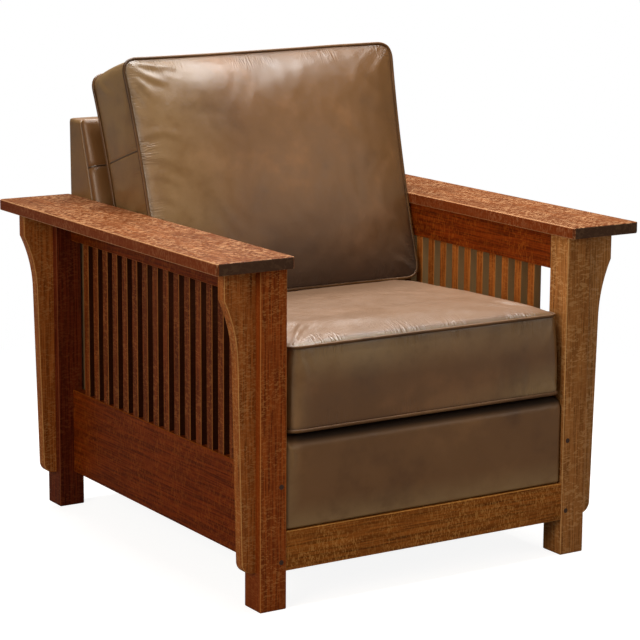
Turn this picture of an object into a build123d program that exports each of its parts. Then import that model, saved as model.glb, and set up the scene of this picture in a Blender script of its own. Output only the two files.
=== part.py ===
from build123d import *
import math
import os

# Mission club chair in stained quartersawn oak and leather, in millimetres.
# The front faces -Y, left is the viewer's left (-X) and the feet stand on Z = 0. The origin is centred
# between the arms' outer edges and between the front and rear ends of the arms. Depths below are worked
# out from the middle of the legs, and keep() moves each finished piece to the origin.

# Show frame
frame_width = 735.0          # over the outer faces of the legs
frame_depth = 864.0          # over the front and rear faces of the legs
leg_size = 55.0
arm_height = 647.0
arm_thickness = 22.0
arm_width = 157.5
arm_lip = 4.0                # the arm's inner edge stands this far inside the legs
arm_front_overhang = 20.0
arm_rear_overhang = 2.0
arm_edge_radius = 2.5
arm_corner = 4.0
leg_edge_radius = 2.0
foot_chamfer = 1.5

# Rails of the sides, front and rear
rail_thickness = 22.0
rail_bottom = 71.0
side_rail_height = 175.0
top_rail_height = 66.0
front_rail_height = 73.5
front_rail_setback = 1.0
rail_edge = 1.2

# Slats housed in both side rails
slat_count = 16
slat_width = 21.0
slat_end_space = 51.5        # from a leg to the nearest slat
slat_thickness = 18.0
slat_edge = 1.0
slat_housing = 10.0

# Mortises and tenons
tenon_thickness = 10.0
tenon_length = 25.0
side_tenon_shoulder = 27.0
top_tenon_shoulder = 12.0
front_tenon_bottom_shoulder = 27.0
front_tenon_top_shoulder = 6.5

# Corbels: widths are measured out from the leg's face
corbel_thickness = 23.0
corbel_top_width = 63.5
corbel_curve_width = 36.5
corbel_foot_width = 28.0
corbel_flat_height = 52.0
corbel_curve_height = 112.0
corbel_foot_radius = 22.0
corbel_edge = 1.2

# Screws under plugs, dowels
plug_diameter = 9.5
plug_depth = 8.0
screw_head_height = 4.0
screw_diameter = 5.0
screw_grip = 32.0            # how far a screw reaches into the rail's end
screw_edge_distance = 17.5
dowel_diameter = 8.0
dowel_length = 30.0
dowel_arm_share = 0.4
dowel_pitch = 26.0
pin_side_count = 8           # flats round a screw or a fluted dowel

# Seat box, deck and front border
seat_pitch = 3.0             # degrees the deck falls towards the rear
deck_front_height = 326.0
back_base_depth = 232.0      # from the back of the seat box to the rear faces of the legs
seat_box_height = 136.0
seat_rail_thickness = 25.0
corner_block_size = 70.0
corner_block_height = 55.0
deck_cover_thickness = 2.0
deck_pad_thickness = 15.0
felt_thickness = 3.0
border_setback = 5.0
border_padding = 14.0
border_board_thickness = 12.0
border_roll_radius = 24.0
border_cap_height = 24.0
border_top_drop = 10.0
dust_cover_thickness = 1.0
dust_cover_margin = 12.0
box_screw_length = 40.0
box_screw_head_diameter = 9.0
box_screw_head_height = 3.0
box_screw_margin = 14.0      # from a corner block to the nearest screw
box_screw_count = 3

# Sinuous seat springs
spring_count = 5
spring_pitch = 112.0
spring_wire = 4.0
spring_straight = 12.0
spring_bends = 9
spring_facet_count = 3
clip_width = 16.0
clip_sheet = 1.6
clip_reach = 7.0             # how far a clip runs past the wire's middle

# Upholstered back
back_rake = 17.5             # degrees from upright
back_top = 803.0
back_top_depth = 66.0
back_side_clearance = 0.5    # to the inner edges of the arms
back_cover = 2.5
back_panel_thickness = 19.0
back_rail_thickness = 25.0
back_rail_height = 70.0
back_foot_rise = 3.0         # foot of the inside back over the deck's rear edge
back_pad = 15.5
back_crown = 25.0
back_crown_shoulder = 95.0
back_edge_bulge = 1.0
strap_count = 5
strap_width = 50.0
strap_thickness = 2.0

# Loose cushions
casing = 3.0
fit_clearance = 0.3          # a cushion on what carries it
side_clearance = 1.5         # a cushion beside the frame
seat_cushion_height = 152.0
seat_cushion_rear_gap = 6.0
seat_crown = 28.0
seat_shoulder = 60.0
seat_bulge = 4.0
seat_pull = 4.0
seat_corner_radius = 26.0
back_cushion_lead = 152.0    # its foot stands this far ahead of the seat box's back
back_cushion_height = 482.0
back_cushion_thickness = 138.0
back_cushion_foot = 477.0    # height of the front welt's foot over the floor
back_cushion_front_crown = 44.0
back_cushion_rear_crown = 43.8
back_cushion_shoulder = 95.0
back_cushion_bed_angle = 5.5  # degrees its foot falls towards the rear, on the seat cushion
back_cushion_bulge = 3.0
back_cushion_pull = 5.0
back_cushion_corner_radius = 34.0

# Crown and side pull along a cushion: share of its length, share of the crown, share of the pull
crown_shares = (
    (0.0, 0.10, 0.0),
    (0.08, 0.58, 0.5),
    (0.22, 0.88, 0.8),
    (0.5, 1.0, 1.0),
    (0.78, 0.88, 0.8),
    (0.92, 0.58, 0.5),
    (1.0, 0.10, 0.0),
)
shoulder_rise_share = 0.8    # share of the crown that its shoulders reach
corner_turns = (0, 45)       # degrees round a cushion's upright corners where a section lies

# Worked out from the sizes above
half_width = frame_width / 2
half_depth = frame_depth / 2
arms_centring = (arm_front_overhang - arm_rear_overhang) / 2
leg_height = arm_height - arm_thickness
inner_face = half_width - leg_size            # the legs' inner faces, flush with the side rails' inner faces
arm_inner = inner_face - arm_lip
rail_length = frame_depth - 2 * leg_size
rail_centre = inner_face + rail_thickness / 2
side_rail_top = rail_bottom + side_rail_height
top_rail_bottom = leg_height - top_rail_height
front_rail_top = rail_bottom + front_rail_height
front_rail_centre = -half_depth + front_rail_setback + rail_thickness / 2
seat_depth = frame_depth - back_base_depth
seat_box_bottom = deck_front_height - seat_box_height
deck_front = -half_depth + border_setback + border_padding + border_board_thickness
seat_back = -half_depth + seat_depth
spring_top = deck_cover_thickness + deck_pad_thickness + felt_thickness
clip_room = spring_wire + 2 * fit_clearance
spring_drop = spring_top + clip_sheet + clip_room / 2      # depth of the springs' middle under the deck
deck_plane = Location((0, -half_depth, deck_front_height), (-seat_pitch, 0, 0))
back_outer = arm_inner - back_side_clearance
back_slope = math.tan(math.radians(back_rake))
back_pad_start = strap_thickness + back_pad + back_cover

made = {}


def keep(name, shape):
    """Names a finished piece and centres it on the arms' length."""
    made[name] = Pos(0, arms_centring, 0) * shape


def block(x0, x1, y0, y1, z0, z1):
    """A box between two corners."""
    size = (x1 - x0, y1 - y0, z1 - z0)
    return Pos((x0 + x1) / 2, (y0 + y1) / 2, (z0 + z1) / 2) * Box(*size)


def rod(start, direction, diameter, length):
    """A round bar that starts at a point and runs along a direction."""
    return Plane(origin=start, z_dir=direction) * Cylinder(
        diameter / 2, length, align=(Align.CENTER, Align.CENTER, Align.MIN)
    )


def pin(start, direction, width, length):
    """A hidden pin with flats all round, as wide over its corners as the round one."""
    section = Plane(origin=start, z_dir=direction) * RegularPolygon(width / 2, pin_side_count)
    return extrude(section, amount=length)


def profile_along_x(points, x0, x1):
    """A closed outline in Y and Z, extruded from x0 to x1."""
    outline = Polyline([(x0, y, z) for y, z in points], close=True)
    return extrude(make_face(outline), amount=x1 - x0, dir=(1, 0, 0))


def mirrored(shape):
    """The same piece on the chair's other side."""
    return mirror(shape, about=Plane.YZ)


def slope_height(y, drop):
    """Height of a plane that lies drop below the deck, square to it, at a place along the depth."""
    tilt = math.radians(seat_pitch)
    return deck_front_height - (y + half_depth) * math.tan(tilt) - drop / math.cos(tilt)


def back_face(z, depth_in):
    """Where the raked front of the back stands at height z, depth_in behind its leather edge."""
    edge = half_depth - back_top_depth - (back_top - z) * back_slope
    return edge + depth_in / math.cos(math.radians(back_rake))


# Holes and pins


def side_screw_places():
    """Heights of the screws that draw each side's bottom rail to the legs."""
    return (rail_bottom + screw_edge_distance, side_rail_top - screw_edge_distance)


def leg_screw(front, z):
    """One screw of the left side, its head under the plug."""
    way = 1 if front else -1
    start = -way * (half_depth - plug_depth)
    head = pin((-rail_centre, start, z), (0, way, 0), plug_diameter, screw_head_height)
    reach = leg_size - plug_depth + screw_grip
    return head + pin((-rail_centre, start, z), (0, way, 0), screw_diameter, reach)


def leg_plug(front, z):
    """The wooden plug over one screw of the left side."""
    way = 1 if front else -1
    return rod((-rail_centre, -way * half_depth, z), (0, way, 0), plug_diameter, plug_depth)


def arm_dowel(front, step):
    """A dowel that stands in the left leg's top and in the arm above it."""
    way = 1 if front else -1
    y = -way * (half_depth - leg_size / 2) + step * dowel_pitch / 2
    start = leg_height - dowel_length * (1 - dowel_arm_share)
    return pin((-half_width + leg_size / 2, y, start), (0, 0, 1), dowel_diameter, dowel_length)


def corbel_dowel(front, z):
    """A dowel between the left leg's outer face and its corbel."""
    way = 1 if front else -1
    y = -way * (half_depth - leg_size / 2)
    return pin((-half_width - dowel_length / 2, y, z), (1, 0, 0), dowel_diameter, dowel_length)


def corbel_dowel_places():
    """Heights of the two dowels of a corbel."""
    return (rail_bottom + corbel_foot_radius + dowel_pitch, leg_height - corbel_flat_height)


# Show wood, left side


def left_leg(front):
    """A square leg with its mortises, screw holes and dowel holes."""
    y0 = -half_depth if front else half_depth - leg_size
    leg = block(-half_width, -inner_face, y0, y0 + leg_size, 0, leg_height)
    leg = fillet(leg.edges().filter_by(Axis.Z), leg_edge_radius)
    leg = chamfer(leg.faces().sort_by(Axis.Z)[0].edges(), foot_chamfer)
    for tenon in (side_tenon(front), top_tenon(front), cross_tenon(front)):
        leg -= tenon
    for z in side_screw_places():
        leg -= leg_screw(front, z)
        leg -= leg_plug(front, z)
    for step in (-1, 1):
        leg -= arm_dowel(front, step)
    for z in corbel_dowel_places():
        leg -= corbel_dowel(front, z)
    return leg


def tenon_along_y(front, z0, z1):
    """A tenon of the left side's rails, reaching into a leg."""
    y0 = -half_depth + leg_size - tenon_length if front else half_depth - leg_size
    x0 = -rail_centre - tenon_thickness / 2
    return block(x0, x0 + tenon_thickness, y0, y0 + tenon_length, z0, z1)


def side_tenon(front):
    return tenon_along_y(front, rail_bottom + side_tenon_shoulder, side_rail_top - side_tenon_shoulder)


def top_tenon(front):
    return tenon_along_y(front, top_rail_bottom + top_tenon_shoulder, leg_height - top_tenon_shoulder)


def cross_tenon(front):
    """The left tenon of the front or rear rail."""
    centre = front_rail_centre if front else -front_rail_centre
    z0 = rail_bottom + front_tenon_bottom_shoulder
    z1 = front_rail_top - front_tenon_top_shoulder
    x0 = -inner_face - tenon_length
    y0 = centre - tenon_thickness / 2
    return block(x0, -inner_face, y0, y0 + tenon_thickness, z0, z1)


def left_corbel(front):
    """A long corbel: flat under the arm, hollow curve, slow taper and a rounded foot."""
    way = 1 if front else -1
    x = -half_width
    curve_top = leg_height - corbel_flat_height
    curve_end = curve_top - corbel_curve_height
    foot_arc_top = rail_bottom + corbel_foot_radius
    taper = math.atan2(corbel_curve_width - corbel_foot_width, curve_end - foot_arc_top)
    top_corner = (x - corbel_top_width, curve_top)
    curve_foot = (x - corbel_curve_width, curve_end)
    taper_foot = (x - corbel_foot_width, foot_arc_top)
    foot_corner = (x - corbel_foot_width + corbel_foot_radius, rail_bottom)
    outline = [
        Line((x, leg_height), (x - corbel_top_width, leg_height)),
        Line((x - corbel_top_width, leg_height), top_corner),
        TangentArc(curve_foot, top_corner, tangent=(-math.sin(taper), math.cos(taper))),
        Line(curve_foot, taper_foot),
        RadiusArc(taper_foot, foot_corner, -corbel_foot_radius),
        Line(foot_corner, (x, rail_bottom)),
        Line((x, rail_bottom), (x, leg_height)),
    ]
    face = make_face(Plane.XZ * Wire(outline))
    corbel = extrude(face, amount=corbel_thickness / 2, both=True)
    outer = corbel.edges().filter_by(Axis.Y, reverse=True).filter_by(lambda e: e.center().X < x - corbel_edge)
    rim = outer.filter_by(lambda e: e.center().Z < leg_height - corbel_edge)
    corbel = chamfer(rim, corbel_edge)
    corbel = Pos(0, -way * (half_depth - leg_size / 2), 0) * corbel
    for z in corbel_dowel_places():
        corbel -= corbel_dowel(front, z)
    return corbel


def left_arm():
    """The wide flat arm board with eased edges, bored for the dowels from below."""
    y0 = -half_depth - arm_front_overhang
    y1 = half_depth + arm_rear_overhang
    arm = block(-arm_inner - arm_width, -arm_inner, y0, y1, leg_height, arm_height)
    arm = chamfer(arm.edges().filter_by(Axis.Z), arm_corner)
    faces = arm.faces().sort_by(Axis.Z)
    arm = fillet(faces[0].edges() + faces[-1].edges(), arm_edge_radius)
    for front in (True, False):
        for step in (-1, 1):
            arm -= arm_dowel(front, step)
    return arm


def slat_places():
    """Where each slat starts along the depth."""
    first = -rail_length / 2 + slat_end_space
    last = rail_length / 2 - slat_end_space - slat_width
    return [first + i * (last - first) / (slat_count - 1) for i in range(slat_count)]


def slat_blank(y0):
    """A square-edged slat with its ends in both rails."""
    z0 = side_rail_top - slat_housing
    z1 = top_rail_bottom + slat_housing
    x0 = -rail_centre - slat_thickness / 2
    return block(x0, x0 + slat_thickness, y0, y0 + slat_width, z0, z1)


def left_slats():
    """The slats of the left side, their long edges eased."""
    blanks = [slat_blank(y0) for y0 in slat_places()]
    return Compound([chamfer(slat.edges().filter_by(Axis.Z), slat_edge) for slat in blanks])


def left_side_rail(z0, z1, tenons, screws):
    """A rail between the left legs, with its tenons and the housings of the slats."""
    rail = block(-inner_face - rail_thickness, -inner_face, -rail_length / 2, rail_length / 2, z0, z1)
    rail = chamfer(rail.edges().filter_by(Axis.Y), rail_edge)
    for tenon in tenons:
        rail += tenon
    for y0 in slat_places():
        rail -= slat_blank(y0)
    for screw in screws:
        rail -= screw
    return rail


def left_bottom_rail():
    tenons = [side_tenon(True), side_tenon(False)]
    screws = [leg_screw(front, z) for front in (True, False) for z in side_screw_places()]
    screws += [mirrored(screw) for screw in right_box_screws()]
    return left_side_rail(rail_bottom, side_rail_top, tenons, screws)


def left_top_rail():
    return left_side_rail(top_rail_bottom, leg_height, [top_tenon(True), top_tenon(False)], [])


def cross_rail(front):
    """The rail between the front legs, or the one between the rear legs."""
    y0 = (front_rail_centre if front else -front_rail_centre) - rail_thickness / 2
    rail = block(-inner_face, inner_face, y0, y0 + rail_thickness, rail_bottom, front_rail_top)
    rail = chamfer(rail.edges().filter_by(Axis.X), rail_edge)
    rail += cross_tenon(front)
    return rail + mirrored(cross_tenon(front))


def show_frame():
    """Both sides, the cross rails and what fastens them."""
    sides = {
        "front_left_leg": left_leg(True),
        "rear_left_leg": left_leg(False),
        "front_left_corbel": left_corbel(True),
        "rear_left_corbel": left_corbel(False),
        "left_arm": left_arm(),
        "left_slats": left_slats(),
        "left_top_rail": left_top_rail(),
        "left_bottom_rail": left_bottom_rail(),
    }
    for name, shape in sides.items():
        keep(name, shape)
        keep(name.replace("left", "right"), mirrored(shape))
    keep("front_rail", cross_rail(True))
    keep("rear_rail", cross_rail(False))
    ends = (True, False)
    screws = [leg_screw(front, z) for front in ends for z in side_screw_places()]
    plugs = [leg_plug(front, z) for front in ends for z in side_screw_places()]
    arm_dowels = [arm_dowel(front, step) for front in ends for step in (-1, 1)]
    corbel_dowels = [corbel_dowel(front, z) for front in ends for z in corbel_dowel_places()]
    pins = {"leg_screws": screws, "leg_plugs": plugs}
    pins.update({"arm_dowels": arm_dowels, "corbel_dowels": corbel_dowels})
    for name, left in pins.items():
        keep(name, Compound(left + [mirrored(pin) for pin in left]))


# Seat box and deck


def seat_rail_top(y):
    """Top of the seat box, under the spring clips."""
    return slope_height(y, spring_drop + clip_room / 2 + clip_sheet)


def seat_cross_rail(y0, foot):
    """Front or rear rail of the seat box, its top edge following the deck."""
    y1 = y0 + seat_rail_thickness
    points = [(y0, foot), (y1, foot), (y1, seat_rail_top(y1)), (y0, seat_rail_top(y0))]
    return profile_along_x(points, -inner_face, inner_face)


def right_box_screws():
    """Screws from the inside of the seat box into the right bottom rail."""
    y0 = deck_front + seat_rail_thickness
    first = y0 + corner_block_size + box_screw_margin
    last = seat_back - seat_rail_thickness - corner_block_size - box_screw_margin
    z = (seat_box_bottom + side_rail_top) / 2
    x = inner_face - seat_rail_thickness
    screws = []
    for i in range(box_screw_count):
        start = (x - box_screw_head_height, first + i * (last - first) / (box_screw_count - 1), z)
        head = pin(start, (1, 0, 0), box_screw_head_diameter, box_screw_head_height)
        screws.append(head + pin(start, (1, 0, 0), screw_diameter, box_screw_length))
    return screws


def right_box_rail():
    """Side rail of the seat box, against the right bottom rail."""
    y0 = deck_front + seat_rail_thickness
    y1 = seat_back - seat_rail_thickness
    points = [(y0, seat_box_bottom), (y1, seat_box_bottom), (y1, seat_rail_top(y1)), (y0, seat_rail_top(y0))]
    rail = profile_along_x(points, inner_face - seat_rail_thickness, inner_face)
    for screw in right_box_screws():
        rail -= screw
    return rail


def corner_blocks():
    """Triangular blocks in the corners of the seat box."""
    x = inner_face - seat_rail_thickness
    ends = ((deck_front + seat_rail_thickness, 1), (seat_back - seat_rail_thickness, -1))
    blocks = []
    for y, way in ends:
        for side in (-1, 1):
            corner = (side * x, y)
            along_x = (side * (x - corner_block_size), y)
            along_y = (side * x, y + way * corner_block_size)
            face = make_face(Polyline(corner, along_x, along_y, close=True))
            raised = extrude(face, amount=corner_block_height, dir=(0, 0, 1))
            blocks.append(Pos(0, 0, seat_box_bottom) * raised)
    return Compound(blocks)


def on_deck(shape):
    """Places a shape made on a level deck at the front of the legs onto the falling deck."""
    return deck_plane * shape


def deck_layer(top, thickness):
    """A layer of the deck, its top lying a given depth under the deck's own top."""
    foot = top + thickness
    points = [
        (deck_front, slope_height(deck_front, top)),
        (seat_back, slope_height(seat_back, top)),
        (seat_back, slope_height(seat_back, foot)),
        (deck_front, slope_height(deck_front, foot)),
    ]
    side = inner_face - fit_clearance
    return profile_along_x(points, -side, side)


def seat_deck():
    keep("seat_deck_cover", deck_layer(0, deck_cover_thickness))
    keep("seat_deck_pad", deck_layer(deck_cover_thickness, deck_pad_thickness))
    keep("seat_spring_felt", deck_layer(deck_cover_thickness + deck_pad_thickness, felt_thickness))


def spring_runs():
    """Places along the depth of a spring's cross runs, the first and last on the seat rails."""
    first = deck_front + half_depth + seat_rail_thickness / 2
    last = seat_depth - seat_rail_thickness / 2
    return [first + i * (last - first) / spring_bends for i in range(spring_bends + 1)]


def spring_path():
    """A sinuous spring's centre line: cross runs joined by half turns of short straights, lying flat."""
    runs = spring_runs()
    points = [(-spring_straight / 2, runs[0])]
    for i, y in enumerate(runs[:-1]):
        way = 1 if i % 2 == 0 else -1
        radius = (runs[i + 1] - y) / 2
        for step in range(spring_facet_count + 1):
            turn = math.pi * step / spring_facet_count
            along = spring_straight / 2 + radius * math.sin(turn)
            points.append((way * along, y + radius - radius * math.cos(turn)))
    way = 1 if spring_bends % 2 == 0 else -1
    points.append((way * spring_straight / 2, runs[-1]))
    return Polyline(*points)


def spring_offsets():
    """Places of the springs across the seat."""
    return [(i - (spring_count - 1) / 2) * spring_pitch for i in range(spring_count)]


def seat_springs():
    """Sinuous springs of square wire, hooked under the clips at both ends."""
    path = spring_path()
    section = Plane(origin=path @ 0, z_dir=path % 0) * Rectangle(spring_wire, spring_wire)
    spring = sweep(section, path=path, transition=Transition.RIGHT)
    return Compound([on_deck(Pos(x, 0, -spring_drop) * spring) for x in spring_offsets()])


def spring_clips():
    """Steel clips nailed to the seat rails, bent round the springs' end runs and open to the middle."""
    inner = clip_room / 2
    outer = inner + clip_sheet
    runs = spring_runs()
    clips = []
    for y, way in ((runs[0], 1), (runs[-1], -1)):
        points = [
            (-outer, -outer),
            (clip_reach, -outer),
            (clip_reach, -inner),
            (-inner, -inner),
            (-inner, inner),
            (clip_reach, inner),
            (clip_reach, outer),
            (-outer, outer),
        ]
        bent = profile_along_x([(y + way * along, up - spring_drop) for along, up in points], 0, clip_width)
        clips += [on_deck(Pos(x - clip_width / 2, 0, 0) * bent) for x in spring_offsets()]
    return Compound(clips)


def front_border_cover():
    """Padded leather front, rolled over at the top."""
    y0 = -half_depth + border_setback
    y1 = y0 + border_padding
    y2 = y1 + border_board_thickness
    top = slope_height(y2, border_top_drop)
    board_top = top - border_cap_height
    z1 = top - border_roll_radius
    outline = [
        Line((y0, front_rail_top), (y0, z1)),
        ThreePointArc(*roll_points(y0, y2, z1, top)),
        Line((y2, top), (y2, board_top)),
        Line((y2, board_top), (y1, board_top)),
        Line((y1, board_top), (y1, front_rail_top)),
        Line((y1, front_rail_top), (y0, front_rail_top)),
    ]
    face = make_face(Plane.YZ * Wire(outline))
    side = inner_face - fit_clearance
    return extrude(face, amount=side, both=True)


def roll_points(y0, y1, z0, z1):
    """Start, middle and end of a roll that rises from one point and levels out at the other."""
    half = math.radians(45)
    middle = (y1 - (y1 - y0) * math.cos(half), z0 + (z1 - z0) * math.sin(half))
    return (y0, z0), middle, (y1, z1)


def front_border_board():
    y0 = -half_depth + border_setback + border_padding
    y1 = y0 + border_board_thickness
    top = slope_height(y1, border_top_drop) - border_cap_height
    return block(-inner_face, inner_face, y0, y1, front_rail_top, top)


def dust_covers():
    """Thin black cloths stapled under the seat box and under the hollow of the back."""
    side = inner_face - dust_cover_margin
    y0 = deck_front + dust_cover_margin
    y1 = seat_back - seat_rail_thickness
    under = seat_box_bottom - dust_cover_thickness
    keep("seat_dust_cover", block(-side, side, y0, y1, under, seat_box_bottom))
    side = back_outer - back_cover
    y0 = seat_back - dust_cover_margin
    y1 = -front_rail_centre - rail_thickness / 2
    under = front_rail_top - dust_cover_thickness
    keep("back_dust_cover", block(-side, side, y0, y1, under, front_rail_top))


def seat_base():
    keep("seat_front_rail", seat_cross_rail(deck_front, seat_box_bottom))
    keep("seat_rear_rail", seat_cross_rail(seat_back - seat_rail_thickness, front_rail_top))
    keep("seat_right_rail", right_box_rail())
    keep("seat_left_rail", mirrored(right_box_rail()))
    keep("seat_corner_blocks", corner_blocks())
    screws = right_box_screws()
    keep("seat_box_screws", Compound(screws + [mirrored(screw) for screw in screws]))
    keep("seat_springs", seat_springs())
    keep("seat_spring_clips", spring_clips())
    seat_deck()
    keep("front_border_board", front_border_board())
    keep("front_border_cover", front_border_cover())
    dust_covers()


# Upholstered back


def back_panel_outline(inset_top, depth_in, foot, foot_front):
    """Wedge of the back seen from the side: upright behind, raked in front, standing on the rear rail."""
    top = back_top - inset_top
    rear = half_depth - back_cover
    knee = back_top - (back_face(back_top, depth_in) - foot_front) / back_slope
    return [
        (rear, foot),
        (rear, top),
        (back_face(top, depth_in), top),
        (foot_front, knee),
        (foot_front, foot),
    ]


def back_side_panel():
    """Right wedge of plywood that carries the back's rails."""
    points = back_panel_outline(back_cover, back_pad_start, front_rail_top, seat_back)
    x1 = back_outer - back_cover
    return profile_along_x(points, x1 - back_panel_thickness, x1)


def back_side_cover():
    """Right leather side of the back."""
    points = back_panel_outline(0, back_pad_start - strap_thickness, front_rail_top, seat_back)
    return profile_along_x(points, back_outer - back_cover, back_outer)


def back_cross_rail(top):
    """A rail between the side panels, its front face on the back's rake."""
    bottom = top - back_rail_height
    y_top = back_face(top, back_pad_start)
    y_bottom = back_face(bottom, back_pad_start)
    points = [
        (y_top, top),
        (y_top + back_rail_thickness, top),
        (y_bottom + back_rail_thickness, bottom),
        (y_bottom, bottom),
    ]
    side = back_outer - back_cover - back_panel_thickness
    return profile_along_x(points, -side, side)


def back_straps():
    """Elastic webbing stapled to the front of both rails."""
    top = back_top - back_cover
    foot = back_foot()
    pitch = 2 * (back_outer - back_panel_thickness) / (strap_count + 1)
    points = [
        (back_face(top, back_pad_start - strap_thickness), top),
        (back_face(top, back_pad_start), top),
        (back_face(foot, back_pad_start), foot),
        (back_face(foot, back_pad_start - strap_thickness), foot),
    ]
    straps = []
    for i in range(strap_count):
        x = (i - (strap_count - 1) / 2) * pitch
        straps.append(profile_along_x(points, x - strap_width / 2, x + strap_width / 2))
    return Compound(straps)


def back_foot():
    """Foot of the inside back and of its bottom rail."""
    return slope_height(seat_back, 0) + back_foot_rise


def back_pad_length():
    """Length of the inside back along its rake."""
    return (back_top - back_foot()) / math.cos(math.radians(back_rake))


def on_back(shape, depth_in):
    """Places a form, made lying with its front up, against the raked front of the back."""
    foot = back_foot()
    return Location((0, back_face(foot, depth_in), foot), (90 - back_rake, 0, 0)) * shape


def inside_back():
    """Padding and leather of the inside back, crowned towards the sitter."""
    width = 2 * (back_outer - back_edge_bulge)
    length = back_pad_length()
    rises = (0, back_crown)
    inner_width = width - 2 * back_cover
    inner_length = length - back_cover
    padding = cushion_form(inner_width, inner_length, back_pad, rises, back_crown_shoulder, back_edge_bulge)
    outer = cushion_form(width, length, back_pad + back_cover, rises, back_crown_shoulder, back_edge_bulge)
    keep("inside_back_padding", on_back(padding, back_pad_start - strap_thickness))
    keep("inside_back_cover", on_back(outer - padding, back_pad_start - strap_thickness))


def upholstered_back():
    keep("back_right_panel", back_side_panel())
    keep("back_left_panel", mirrored(back_side_panel()))
    keep("back_top_rail", back_cross_rail(back_top - back_cover))
    keep("back_bottom_rail", back_cross_rail(back_foot() + back_rail_height))
    keep("back_straps", back_straps())
    inside_back()
    keep("back_right_cover", back_side_cover())
    keep("back_left_cover", mirrored(back_side_cover()))
    side = back_outer - back_cover
    front = back_face(back_top, back_pad_start)
    keep("back_top_cover", block(-side, side, front, half_depth, back_top - back_cover, back_top))
    rear = half_depth - back_cover
    keep("outside_back_cover", block(-side, side, rear, half_depth, front_rail_top, back_top - back_cover))


# Loose cushions


def crown_points(half, height, rise, shoulder):
    """A crowned face in an outline: right welt, right shoulder, middle, left shoulder, left welt."""
    flat = half - shoulder
    side = height + shoulder_rise_share * rise
    return [(half, height), (flat, side), (0, height + rise), (-flat, side), (-half, height)]


def cushion_section(y, width, height, rises, bulge, shoulder):
    """Closed outline across a cushion: bulging sides, sloping shoulders and an arched crown."""
    half = width / 2
    under, over = rises
    top = crown_points(half, height, over, shoulder)
    runs = [[(half, 0), (half + bulge, height / 2), (half, height)], top[:2], top[1:4], top[3:]]
    runs.append([(-half, height), (-half - bulge, height / 2), (-half, 0)])
    runs.append([(-half, 0), (0, -under), (half, 0)] if under else [(-half, 0), (half, 0)])
    edges = []
    for run in runs:
        points = [(x, y, z) for x, z in run]
        edges.append(Line(*points) if len(points) == 2 else ThreePointArc(*points))
    return Wire(edges)


def cushion_stations(length, corner):
    """Sections along a cushion: place, share of the crown, share of the side pull, corner cut-back."""
    stations = [(along * length, crown, drawn, 0) for along, crown, drawn in crown_shares]
    if corner:
        rounded = []
        for turn in corner_turns:
            place = corner * (1 - math.cos(math.radians(turn)))
            cut = corner * (1 - math.sin(math.radians(turn)))
            crown = crown_shares[0][1] + (crown_shares[1][1] - crown_shares[0][1]) * place / stations[1][0]
            rounded.append((place, crown, 0, cut))
        far = [(length - place, crown, drawn, cut) for place, crown, drawn, cut in reversed(rounded)]
        stations = rounded + stations[1:-1] + far
    return stations


def cushion_form(width, length, height, rises, shoulder, bulge, pull=0, corner=0):
    """A crowned cushion lying flat, lofted along its length, its sides drawn in between the corners."""
    sections = []
    for along, crown, drawn, cut in cushion_stations(length, corner):
        here = (rises[0] * crown, rises[1] * crown)
        across = width - 2 * pull * drawn - 2 * cut
        sections.append(make_face(cushion_section(along, across, height, here, bulge, shoulder)))
    return loft(sections, ruled=True)


def seat_cushion_shape(inset):
    """The seat cushion, or its core when inset, on the falling deck."""
    room = inner_face - side_clearance - seat_bulge
    length = seat_depth - seat_cushion_rear_gap - 2 * inset
    height = seat_cushion_height - 2 * inset
    corner = seat_corner_radius - inset
    rises = (0, seat_crown)
    width = 2 * (room - inset)
    form = cushion_form(width, length, height, rises, seat_shoulder, seat_bulge, seat_pull, corner)
    return on_deck(Pos(0, inset, fit_clearance + inset) * form)


def back_cushion_shape(inset):
    """The back cushion, or its core when inset, leaning at the back's rake."""
    room = arm_inner - side_clearance - back_cushion_bulge
    length = back_cushion_height - 2 * inset
    height = back_cushion_thickness - 2 * inset
    rises = (back_cushion_rear_crown, back_cushion_front_crown)
    corner = back_cushion_corner_radius - inset
    width = 2 * (room - inset)
    shoulder = back_cushion_shoulder
    form = cushion_form(width, length, height, rises, shoulder, back_cushion_bulge, back_cushion_pull, corner)
    rake = math.radians(back_rake)
    foot_y = seat_back - back_cushion_lead + back_cushion_thickness * math.cos(rake)
    foot_z = back_cushion_foot - back_cushion_thickness * math.sin(rake)
    place = Location((0, foot_y, foot_z), (90 - back_rake, 0, 0))
    return place * Pos(0, inset, inset) * form


def bed_cut(seat, inset):
    """Everything under the plane that just clears the seat cushion's crown, where the back cushion stands."""
    level = Rot(X=back_cushion_bed_angle) * seat
    top = level.bounding_box().max.Z + fit_clearance + inset
    cut = block(-half_width, half_width, -frame_depth, frame_depth, top - frame_depth, top)
    return Rot(X=-back_cushion_bed_angle) * cut


def cushions():
    """Both loose cushions, each a leather casing round its core; the back one stands on the seat one."""
    seat = seat_cushion_shape(0)
    seat_core = seat_cushion_shape(casing)
    keep("seat_cushion_core", seat_core)
    keep("seat_cushion_casing", seat - seat_core)
    back = back_cushion_shape(0) - bed_cut(seat, 0)
    back_core = back_cushion_shape(casing) - bed_cut(seat, casing)
    keep("back_cushion_core", back_core)
    keep("back_cushion_casing", back - back_core)


show_frame()
seat_base()
upholstered_back()
cushions()

os.makedirs("parts", exist_ok=True)
for name, shape in made.items():
    shape.label = name
    export_step(shape, os.path.join("parts", name + ".step"))
print(len(made), "nodes written")
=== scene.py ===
import bpy
import bmesh
import math
import numpy as np
from mathutils import Matrix, Vector


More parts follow.
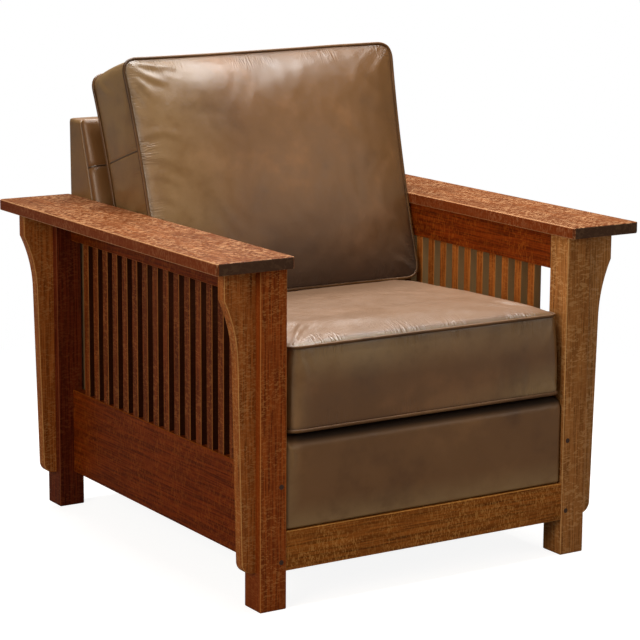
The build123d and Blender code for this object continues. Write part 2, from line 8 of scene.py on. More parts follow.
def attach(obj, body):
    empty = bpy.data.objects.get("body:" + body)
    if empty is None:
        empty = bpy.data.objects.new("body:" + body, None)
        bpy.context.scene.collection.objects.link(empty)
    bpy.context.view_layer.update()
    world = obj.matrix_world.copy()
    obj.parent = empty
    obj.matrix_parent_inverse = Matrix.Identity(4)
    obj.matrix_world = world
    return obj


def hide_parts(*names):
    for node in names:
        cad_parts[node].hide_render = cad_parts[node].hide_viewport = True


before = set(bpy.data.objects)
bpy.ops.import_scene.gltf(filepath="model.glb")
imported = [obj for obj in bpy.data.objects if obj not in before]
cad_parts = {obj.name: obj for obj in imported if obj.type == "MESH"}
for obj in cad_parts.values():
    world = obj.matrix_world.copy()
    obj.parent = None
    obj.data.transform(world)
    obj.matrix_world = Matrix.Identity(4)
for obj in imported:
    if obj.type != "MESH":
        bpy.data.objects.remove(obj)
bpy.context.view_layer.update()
print("frame loaded,", len(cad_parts), "nodes")

mm = 0.001


# colours and nodes

def linearColour(hexText):
    parts = [int(hexText[i:i + 2], 16) / 255 for i in (1, 3, 5)]
    return tuple(p / 12.92 if p <= 0.04045 else ((p + 0.055) / 1.055) ** 2.4 for p in parts) + (1.0,)


def addNode(tree, kind, inputs=(), out=None, **settings):
    # inputs by name or number, or in the node's own order; out gives back that output and not the node
    node = tree.nodes.new(kind)
    for name, value in settings.items():
        setattr(node, name, value)
    for socket, value in inputs.items() if isinstance(inputs, dict) else enumerate(inputs):
        if isinstance(value, bpy.types.NodeSocket):
            tree.links.new(value, node.inputs[socket])
        else:
            node.inputs[socket].default_value = value
    return node if out is None else node.outputs[out]


# kind and settings of the nodes that come up most
mixRgb = {"kind": "ShaderNodeMix", "out": 2, "data_type": "RGBA"}     # share at 0, colours at 6 and 7
softRange = {"kind": "ShaderNodeMapRange", "out": "Result", "interpolation_type": "SMOOTHSTEP"}
evenRange = {"kind": "ShaderNodeMapRange", "out": "Result", "interpolation_type": "LINEAR"}
noise = {"kind": "ShaderNodeTexNoise", "out": "Fac"}
add, subtract, multiply, multiplyAdd, absolute, lesser = (
    {"kind": "ShaderNodeMath", "out": 0, "operation": word}
    for word in ("ADD", "SUBTRACT", "MULTIPLY", "MULTIPLY_ADD", "ABSOLUTE", "MINIMUM"))
dotProduct = {"kind": "ShaderNodeVectorMath", "out": "Value", "operation": "DOT_PRODUCT"}


def newMaterial(name, **sockets):
    material = bpy.data.materials.new(name)
    material.use_nodes = True
    surface = material.node_tree.nodes["Principled BSDF"]
    for socket, value in sockets.items():
        surface.inputs[socket.replace("_", " ")].default_value = value
    return material, material.node_tree, surface


def paintLayers(tree, colour, layers):
    # each layer is a share and the tone that it brings, the first one lowest
    for share, tone in layers:
        colour = addNode(tree, **mixRgb, inputs={0: share, 6: colour, 7: linearColour(tone)})
    return colour


# oak: quartersawn white oak, fumed brown and lacquered satin. The eye sees fine lines along the board,
# short dark pores in them and pale ray flecks lying across, and a darker, duller end grain.

oakLooks = {
    "lineScale": 300.0,      # per metre across the grain: growth lines about 3 mm apart
    "poreScale": 520.0,      # pores 0.3 mm wide are drawn 2 mm wide so that they show
    "grainStretch": 0.03,    # lines and pores are 30 times as long as they are wide
    "fleckScale": 250.0,     # flecks about 2 mm thick along the board
    "fleckStretch": 0.38,    # and 6 mm long across it
    "fleckTilt": (0.35, 0.45, 0),
    "cloudScale": 24.0,      # the stain changes slowly, about every 40 mm
    "patchScale": 14.0,      # flecks thin out in patches about 70 mm wide
    "poreTone": "#2B1206",
    "endGrain": "#46352A",
    # each range: where the pattern starts and ends, then the least and the most that it gives
    "lineRange": (0.34, 0.66, 0.0, 1.0),
    "cloudRange": (0.35, 0.75, 0.0, 0.45),
    "poreRange": (0.56, 0.70, 0.0, 0.62),
    "fleckRange": (0.50, 0.60, 0.0, 1.0),
    "patchRange": (0.34, 0.60, 0.35, 1.0),
    "endRange": (0.6, 0.9, 0.0, 0.9),
    "arrisHighlightRange": (0.16, 0.40, 0.0, 0.55),
    "roughRange": (0.55, 0.75, 0.40, 0.55),
    "sunkRange": (0.58, 0.72, 0.0, 1.0),
    "fleckPolish": 0.08,     # flecks are this much smoother than the wood beside them
    "specular": 0.07,        # satin lacquer, worn thin
    "lineHeight": 0.4,       # growth lines stand this high beside the depth of a pore
    "bump": 0.25,
    "bumpDepth": 0.0003,
}
grainTurns = {"x": (0, -math.pi / 2, 0), "y": (math.pi / 2, 0, 0), "z": (0, 0, 0)}
grainAxes = {"x": (1, 0, 0), "y": (0, 1, 0), "z": (0, 0, 1)}


def makeOak(name, grain, face, deep, fleck, flecks=0.6, size=1.0, offset=0.0, faceTones=()):
    material, tree, surface = newMaterial(name, Specular_IOR_Level=oakLooks["specular"])
    coords = addNode(tree, "ShaderNodeTexCoord")
    board = addNode(tree, "ShaderNodeMapping", {
        "Vector": coords.outputs["Object"], "Rotation": grainTurns[grain],
        "Location": (offset, offset, 0)}, out=0)
    along = addNode(tree, "ShaderNodeMapping", {
        "Vector": board, "Scale": (1, 1, oakLooks["grainStretch"])}, out=0)
    across = addNode(tree, "ShaderNodeMapping", {
        "Vector": board, "Scale": (oakLooks["fleckStretch"], oakLooks["fleckStretch"], 1),
        "Rotation": oakLooks["fleckTilt"]}, out=0)
    lines = addNode(tree, **noise, inputs={
        "Vector": along, "Scale": oakLooks["lineScale"], "Detail": 3.0, "Roughness": 0.6})
    pores = addNode(tree, **noise, inputs={
        "Vector": along, "Scale": oakLooks["poreScale"], "Detail": 2.0, "Roughness": 0.7})
    clouds = addNode(tree, **noise, inputs={"Vector": along, "Scale": oakLooks["cloudScale"], "Detail": 2.0})
    waves = addNode(tree, **noise, inputs={
        "Vector": across, "Scale": oakLooks["fleckScale"] / size, "Detail": 1.5, "Distortion": 0.9})
    patches = addNode(tree, **noise, inputs={"Vector": board, "Scale": oakLooks["patchScale"], "Detail": 2.0})
    ribbon = addNode(tree, **softRange, inputs=(waves, *oakLooks["fleckRange"]))
    thinning = addNode(tree, **softRange, inputs=(patches, *oakLooks["patchRange"]))
    ribbon = addNode(tree, **multiply, inputs=(ribbon, thinning))
    ribbon = addNode(tree, **multiply, inputs=(ribbon, flecks))
    # stain sits deeper in the lines and pores and barely takes on the flecks
    layers = [
        (addNode(tree, **softRange, inputs=(clouds, *oakLooks["cloudRange"])), deep),
        (addNode(tree, **softRange, inputs=(pores, *oakLooks["poreRange"])), oakLooks["poreTone"]),
        (ribbon, fleck)]
    # the board's ends, and the faces that the photograph shows in another tone
    # on the slats' front edges these tones are painted shade on the left and a painted reflection on the
    # right
    normal = coords.outputs["Normal"]
    start, end, least, most = oakLooks["endRange"]
    for axis, tone, share in ((grainAxes[grain], oakLooks["endGrain"], most), *faceTones):
        facing = addNode(tree, **absolute, inputs=(addNode(tree, **dotProduct, inputs=(normal, axis)),))
        layers.append((addNode(tree, **softRange, inputs=(facing, start, end, least, share)), tone))
    # a painted highlight along the long arrises, where the normal lies between two faces
    parts = addNode(tree, "ShaderNodeSeparateXYZ", (normal,))
    sides = [addNode(tree, **absolute, inputs=(parts.outputs[label],))
             for label in "XYZ" if label != grain.upper()]
    between = addNode(tree, **multiply, inputs=sides)
    layers.append((addNode(tree, **softRange, inputs=(between, *oakLooks["arrisHighlightRange"])), fleck))
    lined = addNode(tree, **softRange, inputs=(lines, *oakLooks["lineRange"]))
    ground = addNode(tree, **mixRgb, inputs={0: lined, 6: linearColour(deep), 7: linearColour(face)})
    tree.links.new(paintLayers(tree, ground, layers), surface.inputs["Base Color"])
    # flecks are hard and smooth, pores dull and open
    rough = addNode(tree, **softRange, inputs=(pores, *oakLooks["roughRange"]))
    rough = addNode(tree, **multiplyAdd, inputs=(ribbon, -oakLooks["fleckPolish"], rough))
    tree.links.new(rough, surface.inputs["Roughness"])
    sunk = addNode(tree, **softRange, inputs=(pores, *oakLooks["sunkRange"]))
    ridges = addNode(tree, **multiply, inputs=(lines, oakLooks["lineHeight"]))
    height = addNode(tree, **subtract, inputs=(ridges, sunk))
    bump = addNode(tree, "ShaderNodeBump", {
        "Height": height, "Strength": oakLooks["bump"], "Distance": oakLooks["bumpDepth"]}, out="Normal")
    tree.links.new(bump, surface.inputs["Normal"])
    return material


sideways, frontways = (1, 0, 0), (0, 1, 0)
oakStains = {
    "armOak": {"grain": "y", "face": "#864A24", "deep": "#5C2C12", "fleck": "#CE9C70", "flecks": 0.62,
               "size": 1.05, "offset": 0.3, "faceTones": [(sideways, "#74310F", 0.75)]},
    "legOak": {"grain": "z", "face": "#A2501C", "deep": "#6A2C0A", "fleck": "#C4884A", "flecks": 0.4,
               "size": 0.8, "offset": 0.1, "faceTones": [(sideways, "#7C3610", 0.6)]},
    # the rear legs are a shaded copy of the leg oak: painted darker as shade
    "shadedRearLegOak": {"grain": "z", "face": "#6E2C14", "deep": "#48180C", "fleck": "#8A4E2C", "flecks": 0.3,
                   "offset": 1.7},
    # the front right leg and its corbel are lit copies: painted paler as light and sheen
    "litRightLegOak": {"grain": "z", "face": "#B87C44", "deep": "#865428", "fleck": "#D4A66E", "flecks": 0.4,
                    "size": 1.2, "offset": 0.4},
    "litRightCorbelOak": {"grain": "z", "face": "#CA8E56", "deep": "#966432", "fleck": "#E0B684", "flecks": 0.4,
                       "size": 1.2, "offset": 0.9},
    "corbelOak": {"grain": "z", "face": "#B0662E", "deep": "#80441A", "fleck": "#CC9C60", "flecks": 0.35,
                  "size": 0.8, "offset": 0.7},
    # the left slats are a shaded copy, and their front edges between the slats are painted near black as
    # shade
    "shadedLeftSlatOak": {"grain": "z", "face": "#803C16", "deep": "#502008", "fleck": "#B87840", "flecks": 0.3,
                    "offset": 0.5, "faceTones": [(frontways, "#2C140A", 0.9)]},
    # the right slats are a lit copy, and their front edges are painted grey as a reflection
    "litRightSlatOak": {"grain": "z", "face": "#AC6428", "deep": "#763A10", "fleck": "#C08040", "flecks": 0.3,
                     "offset": 0.6, "faceTones": [(frontways, "#927C58", 0.85)]},
    "railOak": {"grain": "y", "face": "#80340A", "deep": "#541C02", "fleck": "#A2581C", "flecks": 0.35,
                "offset": 0.9},
    "crossOak": {"grain": "x", "face": "#A46024", "deep": "#723E10", "fleck": "#CE9850", "flecks": 0.5,
                 "size": 0.7, "offset": 1.3},
}

# stocks that show as a plain tone with a little of a second one, most of them only when the chair is opened

stockRange = (0.3, 0.7, 0.0, 1.0)
stockBumpDepth = 0.0006
stockLooks = {
    # oak plugs on end, drunk with stain: nearly black, their pores 1.1 mm apart
    "plugOak": {"first": "#2A1710", "second": "#3A2115", "scale": 900.0, "roughness": 0.5},
    # turned beech, unfinished: pale, even and dull, with 2 mm flecks
    "dowelBeech": {"first": "#C49A6C", "second": "#B58A5C", "scale": 500.0, "roughness": 0.6},
    # planed hardwood: bands about 3 mm wide that run up the board, faintly ridged
    "frameHardwood": {"first": "#B8925F", "second": "#A57F50", "scale": 300.0, "roughness": 0.65,
                      "stretch": (1, 1, 0.1), "bump": 0.2},
    # rotary cut plywood, sawn: wide flames, about 6 mm by 30 mm
    "panelPlywood": {"first": "#C4A071", "second": "#AE8857", "scale": 160.0, "roughness": 0.65,
                     "stretch": (1, 0.2, 1)},
    # cut polyether foam under wadding: cream, open cells drawn 1.4 mm wide, no shine
    "foamCore": {"first": "#E6DDB8", "second": "#D9CFA6", "scale": 700.0, "roughness": 0.95, "bump": 0.6},
    # needled felt: grey flock, tufts about 1 mm across
    "greyFelt": {"first": "#6B6763", "second": "#57534F", "scale": 900.0, "roughness": 0.95, "bump": 0.6},
    # woven elastic webbing: black with a brown cast, ribs about 1 mm apart
    "backWebbing": {"first": "#2A2622", "second": "#3B3530", "scale": 900.0, "roughness": 0.85, "bump": 0.4},
    # non-woven dust cloth: flat black, fibres bonded in 0.7 mm points
    "dustCloth": {"first": "#191817", "second": "#242220", "scale": 1400.0, "roughness": 0.9, "bump": 0.5},
    # woven cotton, dyed brown to match the leather: threads drawn 0.9 mm apart
    "deckCloth": {"first": "#3E2C1F", "second": "#4C3727", "scale": 1100.0, "roughness": 0.85, "bump": 0.5},
    # tempered spring wire, oiled: dark, with a narrow shine and 5 mm heat marks
    "springSteel": {"first": "#5A5855", "second": "#454442", "scale": 200.0, "roughness": 0.35,
                    "metallic": 1.0},
    # zinc plated steel: a pale grey shine with 3 mm clouds
    "zincSteel": {"first": "#A9A7A0", "second": "#8E8C86", "scale": 300.0, "roughness": 0.4, "metallic": 1.0},
}


def makeStock(name, first, second, scale, roughness, metallic=0.0, stretch=(1, 1, 1), bump=0.0):
    material, tree, surface = newMaterial(name, Roughness=roughness, Metallic=metallic)
    coords = addNode(tree, "ShaderNodeTexCoord", out="Object")
    placed = addNode(tree, "ShaderNodeMapping", {"Vector": coords, "Scale": stretch}, out=0)
    grain = addNode(tree, **noise, inputs={"Vector": placed, "Scale": scale, "Detail": 3.0})
    share = addNode(tree, **softRange, inputs=(grain, *stockRange))
    colour = addNode(tree, **mixRgb, inputs={0: share, 6: linearColour(first), 7: linearColour(second)})
    tree.links.new(colour, surface.inputs["Base Color"])
    if bump:
        lift = addNode(tree, "ShaderNodeBump", {
            "Height": grain, "Strength": bump, "Distance": stockBumpDepth}, out="Normal")
        tree.links.new(lift, surface.inputs["Normal"])
    return material


# leather: aniline pull-up hide, drum dyed and waxed. The eye sees slow clouds of light and dark brown,
# a fine grain that only shows in the sheen, and a soft broad highlight on every bend.

leatherLooks = {
    # the rubbed and scuffed tones are part wear and part painted light and reflection
    "dark": "#583A1C", "middle": "#694620", "light": "#895E34", "rubbedAndLit": "#967862", "scuffAndSheen": "#947A52",
    # painted shade: the tones for folds and for hide turned down to a seam; the sewn tone is the seam's own
    # dark line
    "paintedShade": "#1E1109", "seamShade": "#2E1C0F", "sewn": "#1E1209",
    "cloudScale": 4.5,       # clouds about 220 mm across
    "rubScale": 27.0,        # and smaller ones, 37 mm across, where the wax is rubbed
    "grainScale": 420.0,     # grain cells 1 mm across are drawn 2.4 mm across so that they show
    "grainRange": (0.0, 0.12, 0.0, 1.0),
    "grainDepth": 0.10,
    "creaseScale": 38.0,     # faint creases about 26 mm apart
    "puckerScale": 105.0,    # puckers about 10 mm apart along a seam
    "puckerStretch": 0.16,   # and six times as long away from it
    "bunchScale": 11.0,      # they come in bunches about 90 mm apart
    "puckerDepth": 1.2,
    "creaseDepth": 0.9,
    "seamDepth": 1.5,
    "cloudShare": 0.75,      # the rest of the tone comes from the rubbed clouds
    # each range: where the pattern starts and ends, then the least and the most that it gives
    "middleRange": (0.32, 0.50, 0.0, 1.0),
    "lightRange": (0.50, 0.70, 0.0, 0.7),
    # upward faces painted paler: part rubbing, part painted top light
    "rubbedAndLitRange": (0.70, 0.98, 0.0, 0.65),
    "unevenRange": (0.25, 0.60, 0.55, 1.0),
    # paler above zero, part scuffs and part painted reflection; painted shade below zero
    "scuffAndSheenRange": (0.0, 1.0, 0.0, 0.85),
    "paintedShadeRange": (0.0, -1.0, 0.0, 0.95),
    # painted shade within 10 mm of a seam
    "seamShadeRange": (0.010, 0.001, 0.0, 0.45),
    "pulledRange": (0.10, 0.0, 0.0, 1.0),
    "bunchRange": (0.42, 0.62, 0.0, 1.0),
    "reachRange": (0.045, 0.002, 0.0, 1.0),      # puckers die out 45 mm away from the seam
    "givenRange": (0.0, 0.00002, 0.0, 1.0),
    "sewnRange": (0.0022, 0.0008, 0.0, 1.0),
    "rolledRange": (0.007, 0.0008, 0.0, 1.0),
    "roughRange": (0.3, 0.7, 0.29, 0.41),
    "dullRange": (0.0, -1.0, 0.0, 0.45),
    "sewnShare": 0.85,
    "shine": 0.85,
    "bump": 0.5,
    "bumpDepth": 0.0012,
}


def makeLeather(name, looks, puckers):
    material, tree, surface = newMaterial(name, Specular_IOR_Level=looks["shine"])
    coords = addNode(tree, "ShaderNodeTexCoord")
    place = coords.outputs["Object"]
    clouds = addNode(tree, **noise, inputs={
        "Vector": place, "Scale": looks["cloudScale"], "Detail": 3.0, "Roughness": 0.5, "Distortion": 0.4})
    rub = addNode(tree, **noise, inputs={
        "Vector": place, "Scale": looks["rubScale"], "Detail": 4.0, "Roughness": 0.6})
    cells = addNode(tree, "ShaderNodeTexVoronoi", {
        "Vector": place, "Scale": looks["grainScale"]}, out="Distance", feature="DISTANCE_TO_EDGE")
    crease = addNode(tree, **noise, inputs={
        "Vector": place, "Scale": looks["creaseScale"], "Detail": 3.0, "Distortion": 0.3})
    tone = addNode(tree, **multiply, inputs=(rub, 1 - looks["cloudShare"]))
    tone = addNode(tree, **multiplyAdd, inputs=(clouds, looks["cloudShare"], tone))
    lower = addNode(tree, **softRange, inputs=(tone, *looks["middleRange"]))
    ground = addNode(tree, **mixRgb, inputs={
        0: lower, 6: linearColour(looks["dark"]), 7: linearColour(looks["middle"])})
    # upward faces are painted paler: part rubbing by sitting, part painted top light
    upward = addNode(tree, **dotProduct, inputs=(coords.outputs["Normal"], (0, 0, 1)))
    # above zero the hide is painted paler, part scuff and part painted reflection and light; below zero it is
    # painted shade in folds, gaps and low places
    wearAndPaintedLight = addNode(tree, "ShaderNodeAttribute", out="Fac", attribute_name="wearAndPaintedLight")
    uneven = addNode(tree, **softRange, inputs=(rub, *looks["unevenRange"]))
    patchy = addNode(tree, **multiply, inputs=(wearAndPaintedLight, uneven))
    layers = [
        (addNode(tree, **softRange, inputs=(tone, *looks["lightRange"])), looks["light"]),
        (addNode(tree, **softRange, inputs=(upward, *looks["rubbedAndLitRange"])), looks["rubbedAndLit"]),
        (addNode(tree, **evenRange, inputs=(patchy, *looks["scuffAndSheenRange"])), looks["scuffAndSheen"]),
        (addNode(tree, **evenRange, inputs=(wearAndPaintedLight, *looks["paintedShadeRange"])), looks["paintedShade"])]
    grain = addNode(tree, **softRange, inputs=(cells, *looks["grainRange"]))
    height = addNode(tree, **multiply, inputs=(grain, looks["grainDepth"]))
    height = addNode(tree, **multiplyAdd, inputs=(crease, looks["creaseDepth"], height))
    if puckers:
        # seamPlace is x along the seam and y away from it, in metres
        seam = addNode(tree, "ShaderNodeAttribute", out="Vector", attribute_name="seamPlace")
        away = addNode(tree, "ShaderNodeSeparateXYZ", (seam,), out="Y")
        rays = addNode(tree, "ShaderNodeMapping", {
            "Vector": seam, "Scale": (1, looks["puckerStretch"], 1)}, out=0)
        ripples = addNode(tree, **noise, inputs={
            "Vector": rays, "Scale": looks["puckerScale"], "Detail": 2.0, "Distortion": 0.6})
        ripples = addNode(tree, **absolute, inputs=(addNode(tree, **subtract, inputs=(ripples, 0.5)),))
        bunches = addNode(tree, **noise, inputs={
            "Vector": rays, "Scale": looks["bunchScale"], "Detail": 1.0})
        pulled = addNode(tree, **softRange, inputs=(ripples, *looks["pulledRange"]))
        for value, limits in ((away, "reachRange"), (bunches, "bunchRange")):
            held = addNode(tree, **softRange, inputs=(value, *looks[limits]))
            pulled = addNode(tree, **multiply, inputs=(pulled, held))
        height = addNode(tree, **multiplyAdd, inputs=(pulled, looks["puckerDepth"], height))
        # painted shade where the hide turns down to the seam
        turned = addNode(tree, **softRange, inputs=(away, *looks["seamShadeRange"]))
        layers.append((turned, looks["seamShade"]))
    # a plain seam across a panel: two edges rolled into a dark line. Panels without one stand at 0 or far off
    across = addNode(tree, "ShaderNodeAttribute", out="Fac", attribute_name="crossSeam")
    across = addNode(tree, **absolute, inputs=(across,))
    given = addNode(tree, **softRange, inputs=(across, *looks["givenRange"]))
    sewn = addNode(tree, **softRange, inputs=(across, *looks["sewnRange"]))
    sewn = addNode(tree, **multiply, inputs=(sewn, given))
    layers.append((addNode(tree, **multiply, inputs=(sewn, looks["sewnShare"])), looks["sewn"]))
    rolled = addNode(tree, **softRange, inputs=(across, *looks["rolledRange"]))
    height = addNode(tree, **multiplyAdd, inputs=(rolled, -looks["seamDepth"], height))
    height = addNode(tree, **multiplyAdd, inputs=(sewn, looks["seamDepth"], height))
    tree.links.new(paintLayers(tree, ground, layers), surface.inputs["Base Color"])
    rough = addNode(tree, **evenRange, inputs=(rub, *looks["roughRange"]))
    dulled = addNode(tree, **evenRange, inputs=(wearAndPaintedLight, *looks["dullRange"]))
    tree.links.new(addNode(tree, **add, inputs=(rough, dulled)), surface.inputs["Roughness"])
    bump = addNode(tree, "ShaderNodeBump", {
        "Height": height, "Strength": looks["bump"], "Distance": looks["bumpDepth"]}, out="Normal")
    tree.links.new(bump, surface.inputs["Normal"])
    return material


# the hide on the frame is stretched flat, and is a paler copy of the cushions' hide, painted lighter as light
# on its upright faces; the welts are darker and dull with handling
litFrameHideLooks = {**leatherLooks, "dark": "#5E3E20", "middle": "#73502C", "light": "#8E663C", "shine": 0.6}
weltLooks = {**leatherLooks, "dark": "#3E2812", "middle": "#5A3C1E", "light": "#725230", "shine": 0.3,
             "grainDepth": 0.04}

stains = {name: makeOak(name, **looks) for name, looks in oakStains.items()}
stains.update({name: makeStock(name, **looks) for name, looks in stockLooks.items()})
stains["hide"] = makeLeather("hide", litFrameHideLooks, puckers=False)
stains["cushionHide"] = makeLeather("cushionHide", leatherLooks, puckers=True)
stains["weltHide"] = makeLeather("weltHide", weltLooks, puckers=False)

nodeStains = {
    "armOak": ["left_arm", "right_arm"],
    "legOak": ["front_left_leg"],
    "shadedRearLegOak": ["rear_left_leg", "rear_right_leg"],
    "litRightLegOak": ["front_right_leg"],
    "litRightCorbelOak": ["front_right_corbel"],
    "corbelOak": ["front_left_corbel", "rear_left_corbel", "rear_right_corbel"],
    "shadedLeftSlatOak": ["left_slats"],
    "litRightSlatOak": ["right_slats"],
    "railOak": ["left_top_rail", "right_top_rail", "left_bottom_rail", "right_bottom_rail"],
    "crossOak": ["front_rail", "rear_rail"],
    "plugOak": ["leg_plugs"],
    "dowelBeech": ["arm_dowels", "corbel_dowels"],
    "frameHardwood": ["seat_front_rail", "seat_rear_rail", "seat_left_rail", "seat_right_rail",
                      "seat_corner_blocks", "front_border_board", "back_top_rail", "back_bottom_rail"],
    "panelPlywood": ["back_left_panel", "back_right_panel"],
    "foamCore": ["seat_deck_pad", "inside_back_padding", "seat_cushion_core", "back_cushion_core"],
    "greyFelt": ["seat_spring_felt"],
    "backWebbing": ["back_straps"],
    "dustCloth": ["seat_dust_cover", "back_dust_cover"],
    "deckCloth": ["seat_deck_cover"],
    "springSteel": ["seat_springs"],
    "zincSteel": ["seat_spring_clips", "leg_screws", "seat_box_screws"],
    "hide": ["seat_cushion_casing", "back_cushion_casing", "front_border_cover", "inside_back_cover",
             "back_left_cover", "back_right_cover", "back_top_cover", "outside_back_cover"],
}
for stain, nodes in nodeStains.items():
    for node in nodes:
        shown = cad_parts[node].data
        shown.materials.clear()
        shown.materials.append(stains[stain])
print("materials made:", len(stains))


# meshes

def boxLattice(nx, ny, nz):
    # the skin of a box as a grid, with each point's place along the three sides
    index, places, faces = {}, [], []

    def at(i, j, k):
        if (i, j, k) not in index:
            index[i, j, k] = len(places)
            places.append((i, j, k))
        return index[i, j, k]

    for i in range(nx):
        for j in range(ny):
            faces.append((at(i, j, nz), at(i + 1, j, nz), at(i + 1, j + 1, nz), at(i, j + 1, nz)))
            faces.append((at(i, j, 0), at(i, j + 1, 0), at(i + 1, j + 1, 0), at(i + 1, j, 0)))
    for i in range(nx):
        for k in range(nz):
            faces.append((at(i, 0, k), at(i + 1, 0, k), at(i + 1, 0, k + 1), at(i, 0, k + 1)))
            faces.append((at(i, ny, k), at(i, ny, k + 1), at(i + 1, ny, k + 1), at(i + 1, ny, k)))
    for j in range(ny):
        for k in range(nz):
            faces.append((at(0, j, k), at(0, j, k + 1), at(0, j + 1, k + 1), at(0, j + 1, k)))
            faces.append((at(nx, j, k), at(nx, j + 1, k), at(nx, j + 1, k + 1), at(nx, j, k + 1)))
    return np.array(places, float), faces, index


def seamRing(nx, ny, k):
    # the lattice points of the seam round a panel, in order
    ring = [(i, 0, k) for i in range(nx)] + [(nx, j, k) for j in range(ny)]
    return ring + [(i, ny, k) for i in range(nx, 0, -1)] + [(0, j, k) for j in range(ny, 0, -1)]


def meshObject(name, points, faces, material=None, smooth=True):
    mesh = bpy.data.meshes.new(name)
    mesh.from_pydata([tuple(p) for p in points], [], faces)
    mesh.update()
    if material:
        mesh.materials.append(material)
    if smooth:
        mesh.shade_smooth()
    made = bpy.data.objects.new(name, mesh)
    bpy.context.scene.collection.objects.link(made)
    return made


def readPoints(mesh, layer="co"):
    flat = np.empty(len(mesh.vertices) * 3)
    mesh.vertices.foreach_get(layer, flat)
    return flat.reshape(-1, 3)


def writePoints(mesh, points):
    mesh.vertices.foreach_set("co", np.asarray(points, float).ravel())
    mesh.update()


def storeValues(mesh, name, values):
    # one number or a triple for each point, which the materials read by this name
    values = np.asarray(values, np.float32)
    kind, field = ("FLOAT", "value") if values.ndim == 1 else ("FLOAT_VECTOR", "vector")
    mesh.attributes.new(name, kind, "POINT").data.foreach_set(field, values.ravel())


def turnOutwards(mesh, weldWithin=0.00002):
    shape = bmesh.new()
    shape.from_mesh(mesh)
    bmesh.ops.remove_doubles(shape, verts=shape.verts, dist=weldWithin)
    bmesh.ops.recalc_face_normals(shape, faces=shape.faces)
    shape.to_mesh(mesh)
    shape.free()


def settledMesh(piece):
    # the piece with its modifiers made into plain mesh
    graph = bpy.context.evaluated_depsgraph_get()
    mesh = bpy.data.meshes.new_from_object(piece.evaluated_get(graph), depsgraph=graph)
    mesh.name = piece.name
    mesh.shade_smooth()
    return mesh


def fade(values, start, width):
    # 0 at start and 1 a width further on; a negative width fades the other way
    return np.clip((values - start) / width, 0, 1)


def swell(share, power=3.4, rise=0.72):
    return (1 - np.abs(np.clip(share, -1, 1)) ** power) ** rise


def roundPlan(x, y, half, length, radius):
    # a square grid's corners pulled onto arcs; x runs -half to half and y from 0 to length
    middle = length / 2
    u = fade(np.abs(x), half - radius, radius)
    v = fade(np.abs(y - middle), middle - radius, radius)
    inCorner = (u > 0) & (v > 0)
    roundX = np.sign(x) * (half - radius + radius * u * np.sqrt(1 - v * v / 2))
    upper = np.where(y > middle, 1.0, -1.0)
    roundY = middle + upper * (middle - radius + radius * v * np.sqrt(1 - u * u / 2))
    return np.where(inCorner, roundX, x), np.where(inCorner, roundY, y)


# a fold's valley lies 1.5 widths off its line and is 0.6 as deep as the ridge is high
foldLooks = {"startAt": 0.12, "taper": 0.8, "valleyAt": 1.5, "valleyDepth": 0.6, "reach": 4}


def foldHeights(x, y, folds):
    # ridges with a valley beside them, each along a line of points, deepest where it starts; all in mm
    total = np.zeros_like(x)
    for points, height, width in folds:
        best = np.full_like(x, 1e9)
        signed = np.zeros_like(x)
        along = np.zeros_like(x)
        runs = [math.dist(a, b) for a, b in zip(points, points[1:])]
        before = 0.0
        for (ax, ay), (bx, by), run in zip(points, points[1:], runs):
            dx, dy = (bx - ax) / run, (by - ay) / run
            t = np.clip((x - ax) * dx + (y - ay) * dy, 0, run)
            away = np.hypot(x - ax - t * dx, y - ay - t * dy)
            side = (x - ax) * dy - (y - ay) * dx
            nearer = away < best
            best = np.where(nearer, away, best)
            signed = np.where(nearer, side, signed)
            along = np.where(nearer, (before + t) / sum(runs), along)
            before += run
        share = foldLooks["startAt"] + (1 - foldLooks["startAt"]) * along
        taper = np.sin(np.pi * np.clip(share, 0, 1)) ** foldLooks["taper"]
        ridge = np.exp(-(best / width) ** 2)
        valley = np.exp(-(((np.abs(signed) - foldLooks["valleyAt"] * width) / width) ** 2))
        valley *= (signed > 0) * (best < foldLooks["reach"] * width)
        total += height * taper * (ridge - foldLooks["valleyDepth"] * valley)
    return total


# the cushions' cases: hide of about 1.2 mm, sewn and filled, then blown up for twenty frames

clothLooks = {
    "quality": 5, "mass": 0.3, "tension_stiffness": 18, "compression_stiffness": 18, "shear_stiffness": 6,
    "bending_stiffness": 1.2, "use_pressure": True, "vertex_group_mass": "still",
}
blowFrames = 20


def inflate(piece, still, cap, pressure, limit):
    group = piece.vertex_groups.new(name="still")
    still = np.round(still, 2)
    for weight in sorted(set(still[still > 0])):
        group.add(np.nonzero(still == weight)[0].tolist(), float(weight), "REPLACE")
    cloth = piece.modifiers.new("cloth", "CLOTH")
    for name, value in clothLooks.items():
        setattr(cloth.settings, name, value)
    cloth.settings.uniform_pressure_force = pressure
    cloth.settings.effector_weights.gravity = 0
    cloth.collision_settings.use_collision = False
    cloth.collision_settings.use_self_collision = False
    cloth.point_cache.frame_start, cloth.point_cache.frame_end = 1, blowFrames
    start = readPoints(piece.data)
    scene = bpy.context.scene
    for number in range(1, blowFrames + 1):
        scene.frame_set(number)
    blown = piece.evaluated_get(bpy.context.evaluated_depsgraph_get())
    move = readPoints(blown.to_mesh()) - start
    blown.to_mesh_clear()
    piece.modifiers.clear()
    piece.vertex_groups.clear()
    scene.frame_set(1)
    size = np.linalg.norm(move, axis=1, keepdims=True)
    move *= np.minimum(1.0, cap / np.maximum(size, 1e-9))
    writePoints(piece.data, limit(start + move))
    print("  inflated", piece.name, "by up to", round(float(np.minimum(size, cap).max()) / mm, 1), "mm")


# places in the chair's own slopes

def slopedPlace(origin, degreesUp):
    # local x across, y up the slope, z square to it
    a = math.radians(degreesUp)
    return Matrix(((1, 0, 0, origin[0]), (0, math.cos(a), -math.sin(a), origin[1]),
                   (0, math.sin(a), math.cos(a), origin[2]), (0, 0, 0, 1)))


